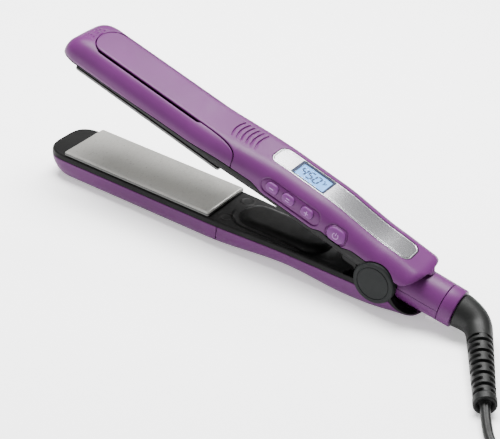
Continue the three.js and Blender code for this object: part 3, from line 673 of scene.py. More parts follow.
# ---------- the arms' form ----------
@dataclass(frozen=True)
class ArmForm:
    """Outer form of one arm, as smooth stations along x."""

    rear: float
    rear_length: float
    widths: tuple[Pair, ...]
    depths: tuple[Pair, ...]
    rim: tuple[Pair, ...]
    crown: float = 0.45

    def size(self, x: Array) -> tuple[Array, Array, Array]:
        """Half width, depth and back corner radius at x.

        Superellipse nose and tail: plan = (1 - n^3.2)^(1/3.2) (1 - t^2.6)^(1/2.6),
        side = (1 - n^2.2)^(1/2.2) (1 - (0.72 t)^3)^(1/3).
        """
        nose = np.clip((NOSE_END - x) / NOSE_LENGTH, 0.0, 1.0)
        tail = np.clip((x - self.rear + self.rear_length) / self.rear_length, 0.0, 1.0)
        plan = (1 - nose ** 3.2) ** (1 / 3.2) * (1 - tail ** 2.6) ** (1 / 2.6)
        side = (1 - nose ** 2.2) ** (1 / 2.2) * (1 - (tail * 0.72) ** 3) ** (1 / 3)
        half = along(self.widths, x) * plan
        depth = along(self.depths, x) * side
        return half, depth, np.minimum(CORNER, np.minimum(half * 0.7, depth * 0.55))

    def at(self, x: Array, s: Array, drop: Array | float = 0.0) -> Array:
        """Points of the section at a signed length s from the middle of the back.

        The section is flat for |s| < b, a quarter circle of the corner radius to b + r pi / 2,
        then a wall that leans in by the skirt below the knee; drop moves a point inwards.
        """
        half, depth, corner = self.size(x)
        back = half - corner
        m = np.abs(s)
        turn = np.clip((m - back) / np.maximum(corner, 1e-6), 0.0, math.pi / 2)
        below = np.maximum(m - back - corner * math.pi / 2, 0.0)
        y = np.minimum(m, back) + corner * np.sin(turn)
        z = depth - corner + corner * np.cos(turn) - below
        knee = np.minimum(FACE_Z + 3.3, (depth - corner) * 0.9)
        skirt = np.minimum(SKIRT, half * 0.2)
        y = y - skirt * np.clip((knee - z) / np.maximum(knee, 1e-6), 0.0, 1.0)
        across = np.minimum(1.0, y / np.maximum(half, 1e-6))
        lift = self.crown * np.minimum(1.0, depth / 12.0) * (1 - across ** 2)
        ny, nz = np.sin(turn), np.cos(turn)
        y = (y - drop * ny) * np.sign(s)
        return np.stack(np.broadcast_arrays(x, y, z + lift * nz - drop * nz), -1)

    def reach_y(self, x: Array, y: Array) -> Array:
        """Length s at which the section is y wide: acos on the corner, linear on the back."""
        half, _, corner = self.size(x)
        back = half - corner
        turn = np.arcsin(np.clip((y - back) / np.maximum(corner, 1e-6), 0.0, 1.0))
        return np.minimum(y, back) + corner * turn

    def reach_z(self, x: Array, z: Array) -> Array:
        """Length s at which the section has fallen to z."""
        half, depth, corner = self.size(x)
        shoulder = depth - corner
        turn = np.arccos(np.clip((z - shoulder) / np.maximum(corner, 1e-6), 0.0, 1.0))
        return half - corner + corner * turn + np.maximum(shoulder - z, 0.0)

    def wall_y(self, x: Array, z: Array) -> Array:
        """Outer |y| of the side at height z, round the shoulder."""
        half, depth, corner = self.size(x)
        up = np.clip((z - (depth - corner)) / np.maximum(corner, 1e-6), 0.0, 1.0)
        return half - corner * (1 - np.sqrt(1 - up * up))

    def top_z(self, x: Array, y: Array) -> Array:
        """Height of the back over plan point (x, y)."""
        return self.at(x, self.reach_y(x, np.abs(y)))[..., 2]

    def cover_rim(self, x: Array) -> Array:
        """Lower edge of the covers, arched over the hinge caps."""
        arch = np.sqrt(np.maximum(CAP_ROOM ** 2 - (x - HINGE_X) ** 2, 0.0))
        return np.maximum(along(self.rim, x) + CLEAR / 2, arch)

    def front_at(self, z: float) -> float:
        """x where the nose is z deep: n = (1 - (z / D)^2.2)^(1/2.2)."""
        nose = (1 - (z / self.depths[0][1]) ** 2.2) ** (1 / 2.2)
        return NOSE_END - NOSE_LENGTH * nose

    def flare(self, x: Array) -> Array:
        """Half width of the tongue where it flares into the handle, a quarter ellipse."""
        edge = along(self.widths, np.array(PART_X)) + 0.4
        swing = np.clip((x - FLARE_START) / FLARE_LENGTH, 0.0, 1.0)
        return edge - (edge - TONGUE_HALF) * np.sqrt(1 - swing ** 2)

    def tongue(self, x: Array, gap: Array | float = 0.0) -> Array:
        """Half width of the whole tongue grown by a gap: an ellipse at its tip, then even, then the flare."""
        half = TONGUE_HALF + gap
        reach = TIP_ROUND * half
        tip = np.clip((TONGUE_TIP - gap + reach - x) / reach, 0.0, 1.0)
        return np.where(x < FLARE_START, half * np.sqrt(1 - tip ** 2), self.flare(x) + gap)


UPPER = ArmForm(
    245.2, 8.0, ((30, 19.8), (100, 19.8), (150, 18.2), (243, 18.2)),
    ((30, 18.5), (84, 18.5), (145, 22.6), (172, 22.4), (216, 18.8), (243, 17.6)),
    (
        (0, 4.2), (20, 4.5), (81, 6.4), (112, 8.6), (130, 8.6), (142, 5.6), (174, 5.6),
        (182, 8.2), (188, 7.2), (195, 7.2), (203, 9.5), (214, 9.3), (234, 8.8), (245.4, 17.0),
    ),
)
LOWER = ArmForm(
    247.0, 8.0, ((30, 19.8), (108, 19.8), (163, 17.4), (215, 17.4), (247, 14.4)),
    ((30, 21), (108, 21), (163, 18.4), (203, 21), (247, 19.6)),
    ((0, 6.5), (226, 6.5), (240, 16.2), (247, 16.2)),
    crown=0.0,
)
BUTTONS = {"minus": (144.8, 13.3), "mode": (156.2, 13.3), "plus": (169.5, 13.3), "power": (190.4, 12.2)}
BUTTON_SIZE = (8.2, 5.7)
POWER_SIZE = (12.0, 8.2)
PANEL = (132.5, 231.0, 8.3, 5.0)
WINDOW = (147.0, 170.5, 7.6)
GAP_THIN = 0.35
GAP_WIDE = 1.5


@dataclass
class Covers:
    """Front and rear covers of one arm, split along the tongue with an open vent slot on each side."""

    form: ArmForm
    pose: Pose
    prefix: str
    button_side: bool
    edge: float = 0.8
    columns: int = 44

    def gap(self, x: Array) -> Array:
        """Width of the slot: thin round the tip, wide beside the tongue, thin along the flare."""
        return GAP_THIN + (GAP_WIDE - GAP_THIN) * ramp(2.0, 12.0, x) * (1 - ramp(84.5, 87.5, x))

    def grips(self, distance: Array, y: Array) -> Array:
        """Three curved grooves in front of the tongue, 2.3 apart."""
        groove = np.zeros_like(distance)
        for k in range(3):
            groove = groove + 0.75 * np.exp(-((distance - 2.2 - 2.2 * k) / 0.36) ** 2)
        return groove * (1 - ramp(6.5, 9.0, np.abs(y)))

    def front(self) -> bpy.types.Object:
        """The front cover: two halves that meet before the tongue's tip."""
        f = self.form
        start = f.front_at(float(f.rim[0][1]) + CLEAR / 2)
        nose = NOSE_END - (NOSE_END - start) * np.sin(np.linspace(math.pi / 2, 0.0, 34))
        tip = TONGUE_TIP - GAP_THIN + 9.6 * (1 - np.cos(np.linspace(0.0, math.pi / 2, 22)))
        flare = FLARE_START + (PART_X - 0.3 - FLARE_START) * np.sin(np.linspace(0.0, math.pi / 2, 26))
        rows = np.unique(np.concatenate([nose, tip, stations((11, 83, 3.5), (83, 89, 0.5)), flare]).round(4))
        rows = rows[np.concatenate([[True], np.diff(rows) > 0.03])]
        x = rows[:, None]
        gap = self.gap(x)
        tongue = f.reach_y(x, f.tongue(x + 0.3 * ramp(86, 118, x), gap))
        inner = np.where(x < TONGUE_TIP - GAP_THIN, 0.0, tongue)
        outer = f.reach_z(x, f.cover_rim(x))
        inner = np.minimum(inner, outer - 0.4)
        edge = np.minimum(self.edge, (outer - inner) * 0.2)
        near = np.array([0.0, 0.06, 0.2, 0.45, 0.7, 1.0])
        middle = np.linspace(0.0, 1.0, self.columns)[1:-1]
        s = np.concatenate([
            inner + edge * near,
            inner + edge + (outer - inner - 2 * edge) * middle,
            outer - edge * near[::-1],
        ], 1)
        shells = []
        for side in (1.0, -1.0):
            y = np.abs(f.at(x, s)[..., 1])
            half = TONGUE_HALF + GAP_THIN
            reach = TIP_ROUND * half
            ahead = (np.hypot((TONGUE_TIP - GAP_THIN + reach - x) / reach, y / half) - 1) * reach
            slot_distance = np.where(x < TONGUE_TIP + 8, ahead, s - inner)
            drop = fillet(slot_distance, self.edge) + fillet(outer - s, 0.5) + fillet(PART_X - 0.3 - x, 0.35)
            drop = drop + np.where(x < TONGUE_TIP + 1, self.grips(ahead, y), 0.0)
            shells.append(facing_out(grid(f.at(x, np.maximum(s, 1e-7) * side, drop))))
        obj = mesh_from(f"{self.prefix}_front_shell", shells, self.pose, closed=False)
        thicken(obj, WALL)
        return obj

    def details(self, x: Array, s: Array) -> Array:
        """Depth of the finger ribs, the button recess and the ring round the power button."""
        p = self.form.at(x, s)
        y, z = p[..., 1], p[..., 2]
        depth = np.zeros_like(y)
        across = 1 - ramp(7.6, 9.0, np.abs(y - 0.6))
        for k in range(6):
            line = 103.4 + 3.35 * k + 1.9 * (y / 9.0) ** 2 - 0.1 * y
            depth = depth + 0.85 * np.exp(-((x - line) / 0.3) ** 2) * across
        if self.button_side:
            near = np.where(y < 0, 1.0, 0.0)
            pill = stadium(x - 157.95, z - 12.9, 15.85, 4.75)
            power = stadium(x - 190.4, z - 12.2, 2.1, 5.0)
            depth = depth + near * (0.45 * (1 - ramp(-0.4, 0.3, pill)) + 0.55 * np.exp(-(pill / 0.32) ** 2))
            depth = depth + near * 0.7 * np.exp(-(power / 0.34) ** 2)
        return depth

    def rear(self) -> bpy.types.Object:
        """The rear cover: the tongue and the handle as one skin."""
        f = self.form
        joint = np.array([[PART_X]])
        whole = float(f.reach_z(joint, f.cover_rim(joint))[0, 0])
        half, _, corner = (float(v[0, 0]) for v in f.size(joint))
        split = min((half - corner + corner * math.pi / 2) / whole, 0.97)
        edge = self.edge / whole
        inner = np.concatenate([
            np.linspace(0.0, 0.52, 12), np.linspace(0.52, split - edge, 22)[1:],
            split - edge * np.array([0.7, 0.45, 0.2, 0.06, 0.0]),
        ])
        outer = np.concatenate([np.linspace(split, 1.0 - 0.02, 10)[1:], [0.988, 0.994, 1.0]])
        share = inner / split
        tip = TONGUE_TIP + TIP_ROUND * TONGUE_HALF * (1 - np.cos(np.linspace(0.0, math.pi / 2, 22)))
        flare = FLARE_START + FLARE_LENGTH * np.sin(np.linspace(0.0, math.pi / 2, 20))
        rows = np.unique(np.concatenate([tip, stations((10.2, 84, 3.5), (100, 115, 0.25)), flare]).round(4))
        rows = rows[np.concatenate([[True], np.diff(rows) > 0.02])]
        x = rows[:, None]
        reach = np.where(x < TONGUE_TIP + 1e-6, 0.0, f.reach_y(x, f.tongue(x)))
        reach[-1] = whole * split
        s = reach * share
        tongue_drop = fillet(reach - s, self.edge)
        s_all = np.concatenate([-s[:, :0:-1], s], 1)
        drop_all = np.concatenate([tongue_drop[:, :0:-1], tongue_drop], 1)
        tongue = grid(f.at(x, np.where(s_all == 0, 1e-7, s_all), drop_all + self.details(x, s_all)))
        tail = f.rear - f.rear_length
        ends = tail + f.rear_length * np.sin(np.linspace(0.0, math.pi / 2, 20))
        notch = [HINGE_X - CAP_ROOM + 0.02, HINGE_X + CAP_ROOM - 0.02]
        arch = HINGE_X + (CAP_ROOM - 0.02) * np.cos(np.linspace(math.pi, 0.0, 40))
        handle_rows = stations((PART_X, 125, 0.25), (124, 136, 1.5), (136, 200, 0.45), (200, tail, 1.8))
        joint_rows = PART_X + np.array([0.05, 0.15, 0.3, 0.55, 0.8])
        handle = np.unique(np.concatenate([handle_rows, arch, notch, ends, joint_rows]).round(4))
        handle = handle[np.concatenate([[True], np.diff(handle) > 0.02])]
        handle[-1] = f.rear
        hx = handle[:, None]
        total = f.reach_z(hx, f.cover_rim(hx))
        fractions = np.concatenate([inner, outer])
        hs = total * fractions
        beyond = hx - PART_X
        aside = np.maximum(total * split - hs, 0.0)
        distance = np.where(fractions > split, beyond, np.hypot(beyond, aside))
        hdrop = fillet(distance, self.edge) + fillet(total - hs, 0.5)
        hs_all = np.concatenate([-hs[:, :0:-1], hs], 1)
        hdrop_all = np.concatenate([hdrop[:, :0:-1], hdrop], 1)
        hdrop_all = hdrop_all + self.details(hx, hs_all)
        patch = grid(f.at(hx, np.where(hs_all == 0, 1e-7, hs_all), hdrop_all))
        patches = [facing_out(tongue), facing_out(patch)]
        obj = mesh_from(f"{self.prefix}_rear_shell", patches, self.pose, closed=False)
        thicken(obj, WALL)
        return obj


def post(x: float, y: float, radius: float, low: float, high: float, steps: int = 40) -> Shell:
    """Upright round post as a closed shell."""
    turns = np.linspace(0.0, 2 * math.pi, steps, endpoint=False)
    return prism(np.column_stack([x + radius * np.cos(turns), y + radius * np.sin(turns)]), low, high)


def wall_prism(outline: Array, low: float, high: float) -> Shell:
    """Prism of an outline in x and z, spread across y."""
    shell = prism(outline, low, high)
    x, z, y = shell.points.T
    return Shell(np.column_stack([x, y, z]), shell.faces)


def barrel_room(radius: float, start: float, tilt: float) -> Shell:
    """Round room about the barrel's axis, seen from an arm tilted by an angle."""
    shell = turned([(start, 0.001), (start, radius), (start + 70, radius), (start + 70, 0.001)], 96)
    points = turn_y(shell.points, tilt) + np.array([HINGE_X, 0.0, 0.0])
    return Shell(points, shell.faces)


@dataclass
class InnerFrame:
    """Black inner frame of one arm: a rounded tray edge round the plate and the hinge ground behind it."""

    form: ArmForm
    pose: Pose
    rows: Array
    round_edge: float = 1.1

    def body(self, name: str, rise: Callable[[Array, Array], Array]) -> bpy.types.Object:
        """The frame as one closed loft.

        Args:
            name: the object's name.
            rise: height of the face over (x, y), towards the meeting plane.

        Returns:
            Rows of loops: hidden back, side down to the rounded edge, the face and back up the other side.
        """
        f = self.form
        x = self.rows[:, None]
        rim = along(f.rim, x) - CLEAR / 2
        _, depth, _ = f.size(x)
        low = np.minimum(FACE_Z + self.round_edge, depth - 0.05)
        top = np.minimum(rim, depth)
        s0 = np.where(depth <= rim, 0.0, f.reach_z(x, top))
        s1 = f.reach_z(x, low)
        s = s0 + (s1 - s0) * np.linspace(0.0, 1.0, 12)
        side = f.at(x, np.maximum(s, 1e-7))
        side[..., 2] = np.minimum(side[..., 2], np.maximum(rim, 0.0))
        edge_y = side[:, -1:, 1]
        radius = np.minimum(self.round_edge, edge_y * 0.4)
        turns = np.linspace(0.0, math.pi / 2, 7)[1:]
        round_y = edge_y - radius * (1 - np.cos(turns))
        round_z = side[:, -1:, 2] - (side[:, -1:, 2] - FACE_Z) * np.sin(turns)
        face_y = (edge_y - radius) * np.linspace(1.0, 0.0, 40)[1:]
        back_y = side[:, :1, 1] * np.linspace(0.0, 1.0, 4)[:-1]
        y = np.concatenate([back_y, side[..., 1], round_y, face_y], 1)
        z = np.concatenate([
            np.broadcast_to(side[:, :1, 2], back_y.shape), side[..., 2], round_z,
            np.full(face_y.shape, FACE_Z),
        ], 1)
        count = back_y.shape[1] + side.shape[1] + round_y.shape[1]
        y = np.concatenate([y, -y[:, -2:0:-1]], 1)
        z = np.concatenate([z, z[:, -2:0:-1]], 1)
        face = np.zeros(y.shape[1], bool)
        face[count - 3:y.shape[1] - count + 4] = True
        z = z - np.where(face, rise(x, y), 0.0)
        loops = np.stack(np.broadcast_arrays(x, y, z), -1)
        return mesh_from(name, [grid(loops, wrap=True, caps=True)], self.pose)


def screw_wells(x: Array, y: Array) -> Array:
    """Two round wells with a raised ring, for the screws behind the plate."""
    rise = np.zeros(np.broadcast(x, y).shape)
    for side in SIDES:
        r = np.hypot(x - SCREW_X, y - side * SCREW_Y)
        rise = rise + 0.35 * np.exp(-((r - 3.7) / 0.45) ** 2)
    return rise


def lower_rise(x: Array, y: Array) -> Array:
    """Face of the lower frame: pill housing with a near-side ledge, a dip, wells and a pocket by the cap."""
    pill = stadium(x - 152.5, y, 18.1, 12.4)
    t = np.clip(-pill / 5.5, 0.0, 1.0)
    rise = 3.4 * np.sqrt(1 - (1 - t) ** 2)
    hip = stadium(x - 150.0, y, 18.0, 14.6)
    ledge = 0.8 * (1 - ramp(-0.35, 0.35, hip)) * np.where(y > 0, 1.0, 0.0) * (1 - ramp(166, 176, x))
    dip = -0.9 * np.exp(-((x - 187) / 5.0) ** 2) * (1 - ramp(9, 13, np.abs(y)))
    pocket = -1.6 * (1 - ramp(-0.6, 0.6, rounded_box(x - 205.6, y - 15.6, (3.6, 2.4), 1.6)))
    return np.maximum(rise, ledge) + dip + pocket + screw_wells(x, y)


def straight_rows(form: ArmForm) -> Array:
    """Rows of an inner frame: close at the nose and tail, even between, fine behind the plate."""
    start = form.front_at(FACE_Z + 1.3)
    nose = NOSE_END - (NOSE_END - start) * np.sin(np.linspace(math.pi / 2, 0.0, 26))
    tail = form.rear - form.rear_length
    ends = tail + (form.rear_length - 0.1) * np.sin(np.linspace(0.0, math.pi / 2, 12))
    even = stations((4, 110, 3), (110, 212, 0.6), (212, tail, 2))
    rows = np.unique(np.concatenate([nose, even, ends]).round(4))
    return rows[np.concatenate([[True], np.diff(rows) > 0.03])]


def plate_bay() -> Shell:
    """Opening of a frame round the plate holder."""
    return prism(box_outline(2.9, 107.1, -15.4, 15.4, 0.6), -5, 40)


def frame_rooms() -> list[Shell]:
    """Rooms of a frame for the two hinge caps and the two screws behind the plate."""
    caps = []
    for s in SIDES:
        room = turned([(s * 14.5, 0.001), (s * 14.5, CAP_ROOM), (s * 32, CAP_ROOM), (s * 32, 0.001)], 96)
        caps.append(about_y(room, HINGE_X, 0.0))
    return caps + [post(SCREW_X, s * SCREW_Y, 2.9, -5, 5.2) for s in SIDES]


def lug(side: float, near: float, far: float) -> Shell:
    """Round ear about the hinge pin with softened edges."""
    profile = rounded([(near, 0.001), (near, 8.6), (far, 8.6), (far, 0.001)], 0.5)
    return about_y(turned([(d * side, r) for d, r in profile], 64), HINGE_X, 0.0)


def lower_frame() -> None:
    """Lower inner frame with its housing, screw wells, ears and barrel trough."""
    tray = InnerFrame(LOWER, Pose.LOWER, straight_rows(LOWER))
    obj = tray.body("lower_inner_frame_shell", lower_rise)
    carve(obj, [plate_bay()], Pose.LOWER)
    carve(obj, frame_rooms(), Pose.LOWER)
    middle = prism(box_outline(206.6, 241.6, -7.4, 7.4, 1.5), -10, 40)
    carve(obj, [middle], Pose.LOWER)
    rooms = [prism(box_outline(202.6, 232.0, *band(s, 10.15, 13.8), 0.4), -10, 40) for s in SIDES]
    carve(obj, rooms, Pose.LOWER)
    carve(obj, [barrel_room(13.5, 10.0, -BARREL_TILT)], Pose.LOWER)
    carve(obj, [trough_mouth()], Pose.LOWER)
    ears = mesh_from("ears", [lug(s, 7.6, 10.0) for s in (-1, 1)], Pose.LOWER)
    piece = merged("lower_inner_frame_black", [(obj, BLACK), (ears, BLACK)])
    dress(piece, BLACK, ["lower_inner_frame"])


def finger() -> Shell:
    """Blunt finger under the upper frame, in front of the near hinge cap: a rounded outline in x and z."""
    front, back, low, high = HINGE_X - 24.5, HINGE_X - 13.5, -1.2, 4.4
    turns = np.linspace(math.pi, math.pi * 1.5, 10)
    nose = np.column_stack([front + 3.4 + 3.4 * np.cos(turns), low + 2.9 + 2.9 * np.sin(turns)])
    outline = np.concatenate([nose, [[back, low], [back, high], [front, high]]])
    edge = 0.45
    insets = (0.0, 0.12, edge)
    middle = outline.mean(0)
    rings = []
    for y, inset in [(-16.3 + d, d) for d in insets[::-1]] + [(-13.9 - d, d) for d in insets]:
        plan = outline + (middle - outline) * (edge - math.sqrt(edge ** 2 - (edge - inset) ** 2)) / 4.0
        rings.append(np.column_stack([plan[:, 0], np.full(len(plan), y), plan[:, 1]]))
    return grid(np.stack(rings), wrap=True, caps=True)


def upper_frame() -> None:
    """Upper inner frame with screw wells and ears."""
    tray = InnerFrame(UPPER, Pose.UPPER, straight_rows(UPPER))
    obj = tray.body("upper_inner_frame_shell", screw_wells)
    carve(obj, [plate_bay()], Pose.UPPER)
    carve(obj, frame_rooms(), Pose.UPPER)
    carve(obj, [prism(box_outline(207.4, 262.0, -10.3, 10.3, 1.5), -10, 40)], Pose.UPPER)
    carve(obj, [prism(box_outline(229.5, 275.0, -40.0, 40.0, 1.5), -10, 40)], Pose.UPPER)
    carve(obj, [barrel_room(12.7, 4.0, BARREL_TILT - OPEN_ANGLE)], Pose.UPPER)
    ears = mesh_from("ears", [lug(s, 10.4, 13.4) for s in (-1, 1)] + [finger()], Pose.UPPER)
    piece = merged("upper_inner_frame_black", [(obj, BLACK), (ears, BLACK)])
    dress(piece, BLACK, ["upper_inner_frame"])


# ---------- covers with their openings ----------
def lower_covers() -> None:
    """Lower covers: trough for the barrel and two screw wells underneath."""
    covers = Covers(LOWER, Pose.LOWER, "lower", False)
    dress(covers.front(), PURPLE, ["lower_front_cover"])
    rear = covers.rear()
    carve(rear, [barrel_room(13.5, 10.0, -BARREL_TILT)], Pose.LOWER)
    carve(rear, [trough_mouth()], Pose.LOWER)
    carve(rear, [post(200.0, s * 6.6, 2.9, 17.6, 30.0) for s in (-1, 1)], Pose.LOWER)
    dress(rear, PURPLE, ["lower_rear_cover"])


def button_outline(name: str, grow: float, steps: int = 9) -> Array:
    """Outline of a button in x and z: a soft rectangle, or a pill for the power button."""
    x, z = BUTTONS[name]
    width, height = POWER_SIZE if name == "power" else BUTTON_SIZE
    radius = height / 2 - 0.02 if name == "power" else 2.5
    w, h = width / 2 + grow, height / 2 + grow
    return box_outline(x - w, x + w, z - h, z + h, radius + grow, steps)


def trough_mouth() -> Shell:
    """Room over the lower arm's rear end: its edge drops behind the caps, a quarter ellipse, and levels out."""
    turns = np.linspace(0.0, math.pi / 2, 14)
    curve = np.column_stack([231.5 + 15.0 * (1 - np.cos(turns)), 2.6 + 12.6 * np.sin(turns)])
    outline = np.concatenate([[[231.5, -12.0]], curve, [[258.0, 15.2], [258.0, -12.0]]])
    return wall_prism(outline, -30.0, 30.0)


def upper_covers() -> None:
    """Upper covers: panel seat, window, button openings and the arch over the barrel."""
    covers = Covers(UPPER, Pose.UPPER, "upper", True)
    dress(covers.front(), PURPLE, ["upper_front_cover"])
    rear = covers.rear()
    holes = [wall_prism(button_outline(name, CLEAR * 0.8), -30.0, -12.0) for name in BUTTONS]
    carve(rear, holes, Pose.UPPER)
    start, end, half, corner = PANEL
    outline = box_outline(start - CLEAR, end + CLEAR, -half - CLEAR, half + CLEAR, corner + CLEAR, 16)
    seat = UPPER.top_z(outline[:, 0], outline[:, 1]) - 1.5
    rings = np.stack([np.column_stack([outline, z]) for z in (seat, np.full(len(outline), 40.0))])
    carve(rear, [grid(rings, wrap=True, caps=True)], Pose.UPPER)
    x0, x1, y1 = WINDOW
    carve(rear, [prism(box_outline(x0 + 1, x1 - 1, 1 - y1, y1 - 1, 1.0), 12.0, 50.0)], Pose.UPPER)
    carve(rear, [barrel_room(12.7, 4.0, BARREL_TILT - OPEN_ANGLE)], Pose.UPPER)
    dress(rear, PURPLE, ["upper_rear_cover"])


# ---------- control panel and display ----------
def plate_on_back(
    outline: Array, inner: Array, thick: float, sink: float, rings: int, edge: float, groove: float = 0.0,
) -> Shell:
    """Plate that follows the arm's back, from loops that shrink from an outline to a spine.

    Args:
        outline: (n, 2) outer loop.
        inner: (n, 2) innermost loop, as many points.
        thick: depth of the plate.
        sink: how far its top lies under the back.
        rings: loops between the two.
        edge: radius of the top's rounded edge.
        groove: depth of a fine groove 1.1 inside the edge.

    Returns:
        Closed shell: p = outline + (inner - outline) t, z = top(p) - sink - fillet.
    """
    near = edge * np.array([0.0, 0.15, 0.4, 0.7, 1.0]) / 8.0
    fine = np.linspace(0.7, 1.5, 9 if groove else 0) / 8.0
    gaps = np.unique(np.clip(np.concatenate([near, fine, np.linspace(0.0, 1.0, rings)[1:]]), 0, 1))
    plan = outline[None] + (inner - outline)[None] * gaps[:, None, None]
    away = np.hypot(*np.moveaxis(plan - outline[None], -1, 0))
    back = UPPER.top_z(plan[..., 0], plan[..., 1])
    z = back - sink - fillet(away, edge) - groove * np.exp(-((away - 1.1) / 0.16) ** 2)
    top = np.concatenate([plan, z[..., None]], -1)
    under = np.concatenate([plan, (back - thick)[..., None]], -1)
    return grid(np.concatenate([under[::-1], top]), wrap=True)


def spine(outline: Array, start: float, end: float, half: float) -> Array:
    """Each outline point's partner on the middle line of a long plate."""
    return np.column_stack([np.clip(outline[:, 0], start + half, end - half), np.zeros(len(outline))])


def resampled(outline: Array, step: float) -> Array:
    """Closed outline with points no further apart than a step."""
    nxt = np.roll(outline, -1, 0)
    out = []
    for a, b in zip(outline, nxt):
        count = max(1, int(math.ceil(np.hypot(*(b - a)) / step)))
        out.append(a + (b - a) * np.linspace(0, 1, count, endpoint=False)[:, None])
    return np.concatenate(out)


def control_panel() -> None:
    """Brushed silver panel with a fine groove inside its edge and an opening for the display."""
    start, end, half, corner = PANEL
    outline = resampled(box_outline(start, end, -half, half, corner, 14), 1.6)
    shell = plate_on_back(outline, spine(outline, start, end, half), 1.2, 0.05, 14, 0.35, 0.16)
    obj = mesh_from("control_panel_brushed", [shell], Pose.UPPER)
    x0, x1, y1 = WINDOW
    carve(obj, [prism(box_outline(x0, x1, -y1, y1, 1.2), 5.0, 50.0)], Pose.UPPER)
    dress(obj, SILVER, ["control_panel"])


SEGMENTS = {"4": "bcfg", "5": "acdfg", "0": "abcdef"}
DIGIT = (3.1, 6.8, 0.95)


def segment_bars(text: str, x: float, y: float, slant: float) -> list[Array]:
    """Outlines of seven-segment digits that read along +x with their tops towards +y.

    Args:
        text: the digits.
        x: left edge of the first digit.
        y: foot of the digits.
        slant: sideways lean per height.

    Returns:
        One (6, 2) outline for each lit bar, a long hexagon.
    """
    wide, high, thick = DIGIT
    ends = {
        "a": ((0, high), (wide, high)), "g": ((0, high / 2), (wide, high / 2)), "d": ((0, 0), (wide, 0)),
        "f": ((0, high / 2), (0, high)), "b": ((wide, high / 2), (wide, high)),
        "e": ((0, 0), (0, high / 2)), "c": ((wide, 0), (wide, high / 2)),
    }
    bars = []
    for k, digit in enumerate(text):
        for name in SEGMENTS[digit]:
            a, b = (np.array(p, float) for p in ends[name])
            run = (b - a) / np.hypot(*(b - a))
            side = np.array([-run[1], run[0]]) * thick / 2
            a, b = a + run * 0.22, b - run * 0.22
            c, d = a + run * thick / 2, b - run * thick / 2
            hexagon = np.array([a, c - side, d - side, b, d + side, c + side])
            hexagon[:, 0] += x + k * (wide + 1.5) + hexagon[:, 1] * slant
            hexagon[:, 1] += y
            bars.append(hexagon)
    return bars


def flat_marks(outlines: Sequence[Array], sink: float, low: float, high: float) -> list[Shell]:
    """Thin raised marks on a surface that lies a little under the back, from low to high above it."""
    shells = []
    for outline in outlines:
        base = UPPER.top_z(outline[:, 0], outline[:, 1]) - sink
        rings = np.stack([np.column_stack([outline, base + low]), np.column_stack([outline, base + high])])
        shells.append(grid(rings, wrap=True, caps=True))
    return shells


def display() -> None:
    """Display: lit face with dark digits and pale ticks, a dark frame and a clear window over them."""
    x0, x1, half = WINDOW
    face = resampled(box_outline(x0 + 0.5, x1 - 0.5, -half + 0.2, half - 0.2, 0.8, 5), 1.5)
    sink = 1.0
    lit = mesh_from("lit", [plate_on_back(face, spine(face, x0, x1, 7), 3.4, sink, 8, 0.1)], Pose.UPPER)
    bars = segment_bars("450", x0 + 3.0, -3.0, 0.14)
    ring = np.linspace(0, 2 * math.pi, 20, endpoint=False)
    for dx, dy, w, h in ((18.4, 1.9, 1.9, 0.45), (18.4, 0.9, 1.5, 0.45), (18.3, -0.3, 0.45, 2.4)):
        bars.append(box_outline(x0 + dx, x0 + dx + w, dy, dy + h, 0.15, 3))
    bars.append(np.column_stack([x0 + 17.9 + 0.5 * np.cos(ring), 3.3 + 0.5 * np.sin(ring)]))
    digits = mesh_from("digits", flat_marks(bars, sink, -0.1, 0.12), Pose.UPPER)
    ticks = [box_outline(x0 + 3.4 + 3.0 * k, x0 + 5.2 + 3.0 * k, -6.2, -5.3, 0.2, 3) for k in range(5)]
    pale = mesh_from("ticks", flat_marks(ticks, sink, -0.1, 0.1), Pose.UPPER)
    module = merged("display_face", [(lit, GLOW), (digits, INK), (pale, TICK)])
    dress(module, GLOW, ["display_module"])

    outline = resampled(box_outline(x0 + 0.3, x1 - 0.3, -half + 0.3, half - 0.3, 1.0, 8), 1.2)
    opening = resampled(box_outline(x0 + 1.5, x1 - 1.5, -half + 1.3, half - 1.3, 0.8, 8), 1.2)
    middle = spine(outline, x0, x1, 7)
    rim = mesh_from("rim", [plate_on_back(outline, middle, 0.9, 0.25, 8, 0.15)], Pose.UPPER)
    carve(rim, [prism(opening, 5.0, 50.0)], Pose.UPPER)
    clear = mesh_from("clear", [plate_on_back(outline, middle, 0.2, 0.03, 8, 0.1)], Pose.UPPER)
    window = merged("display_window_lens", [(clear, GLASS), (rim, INK)])
    dress(window, GLASS, ["display_lens"])


# ---------- buttons ----------
def on_wall(outline: Array, lift: Array | float) -> Array:
    """Puts an outline in x and z on the upper arm's near wall, raised by a lift."""
    x, z = outline[..., 0], outline[..., 1]
    return np.stack([x, -(UPPER.wall_y(x, z) + lift), z], -1)


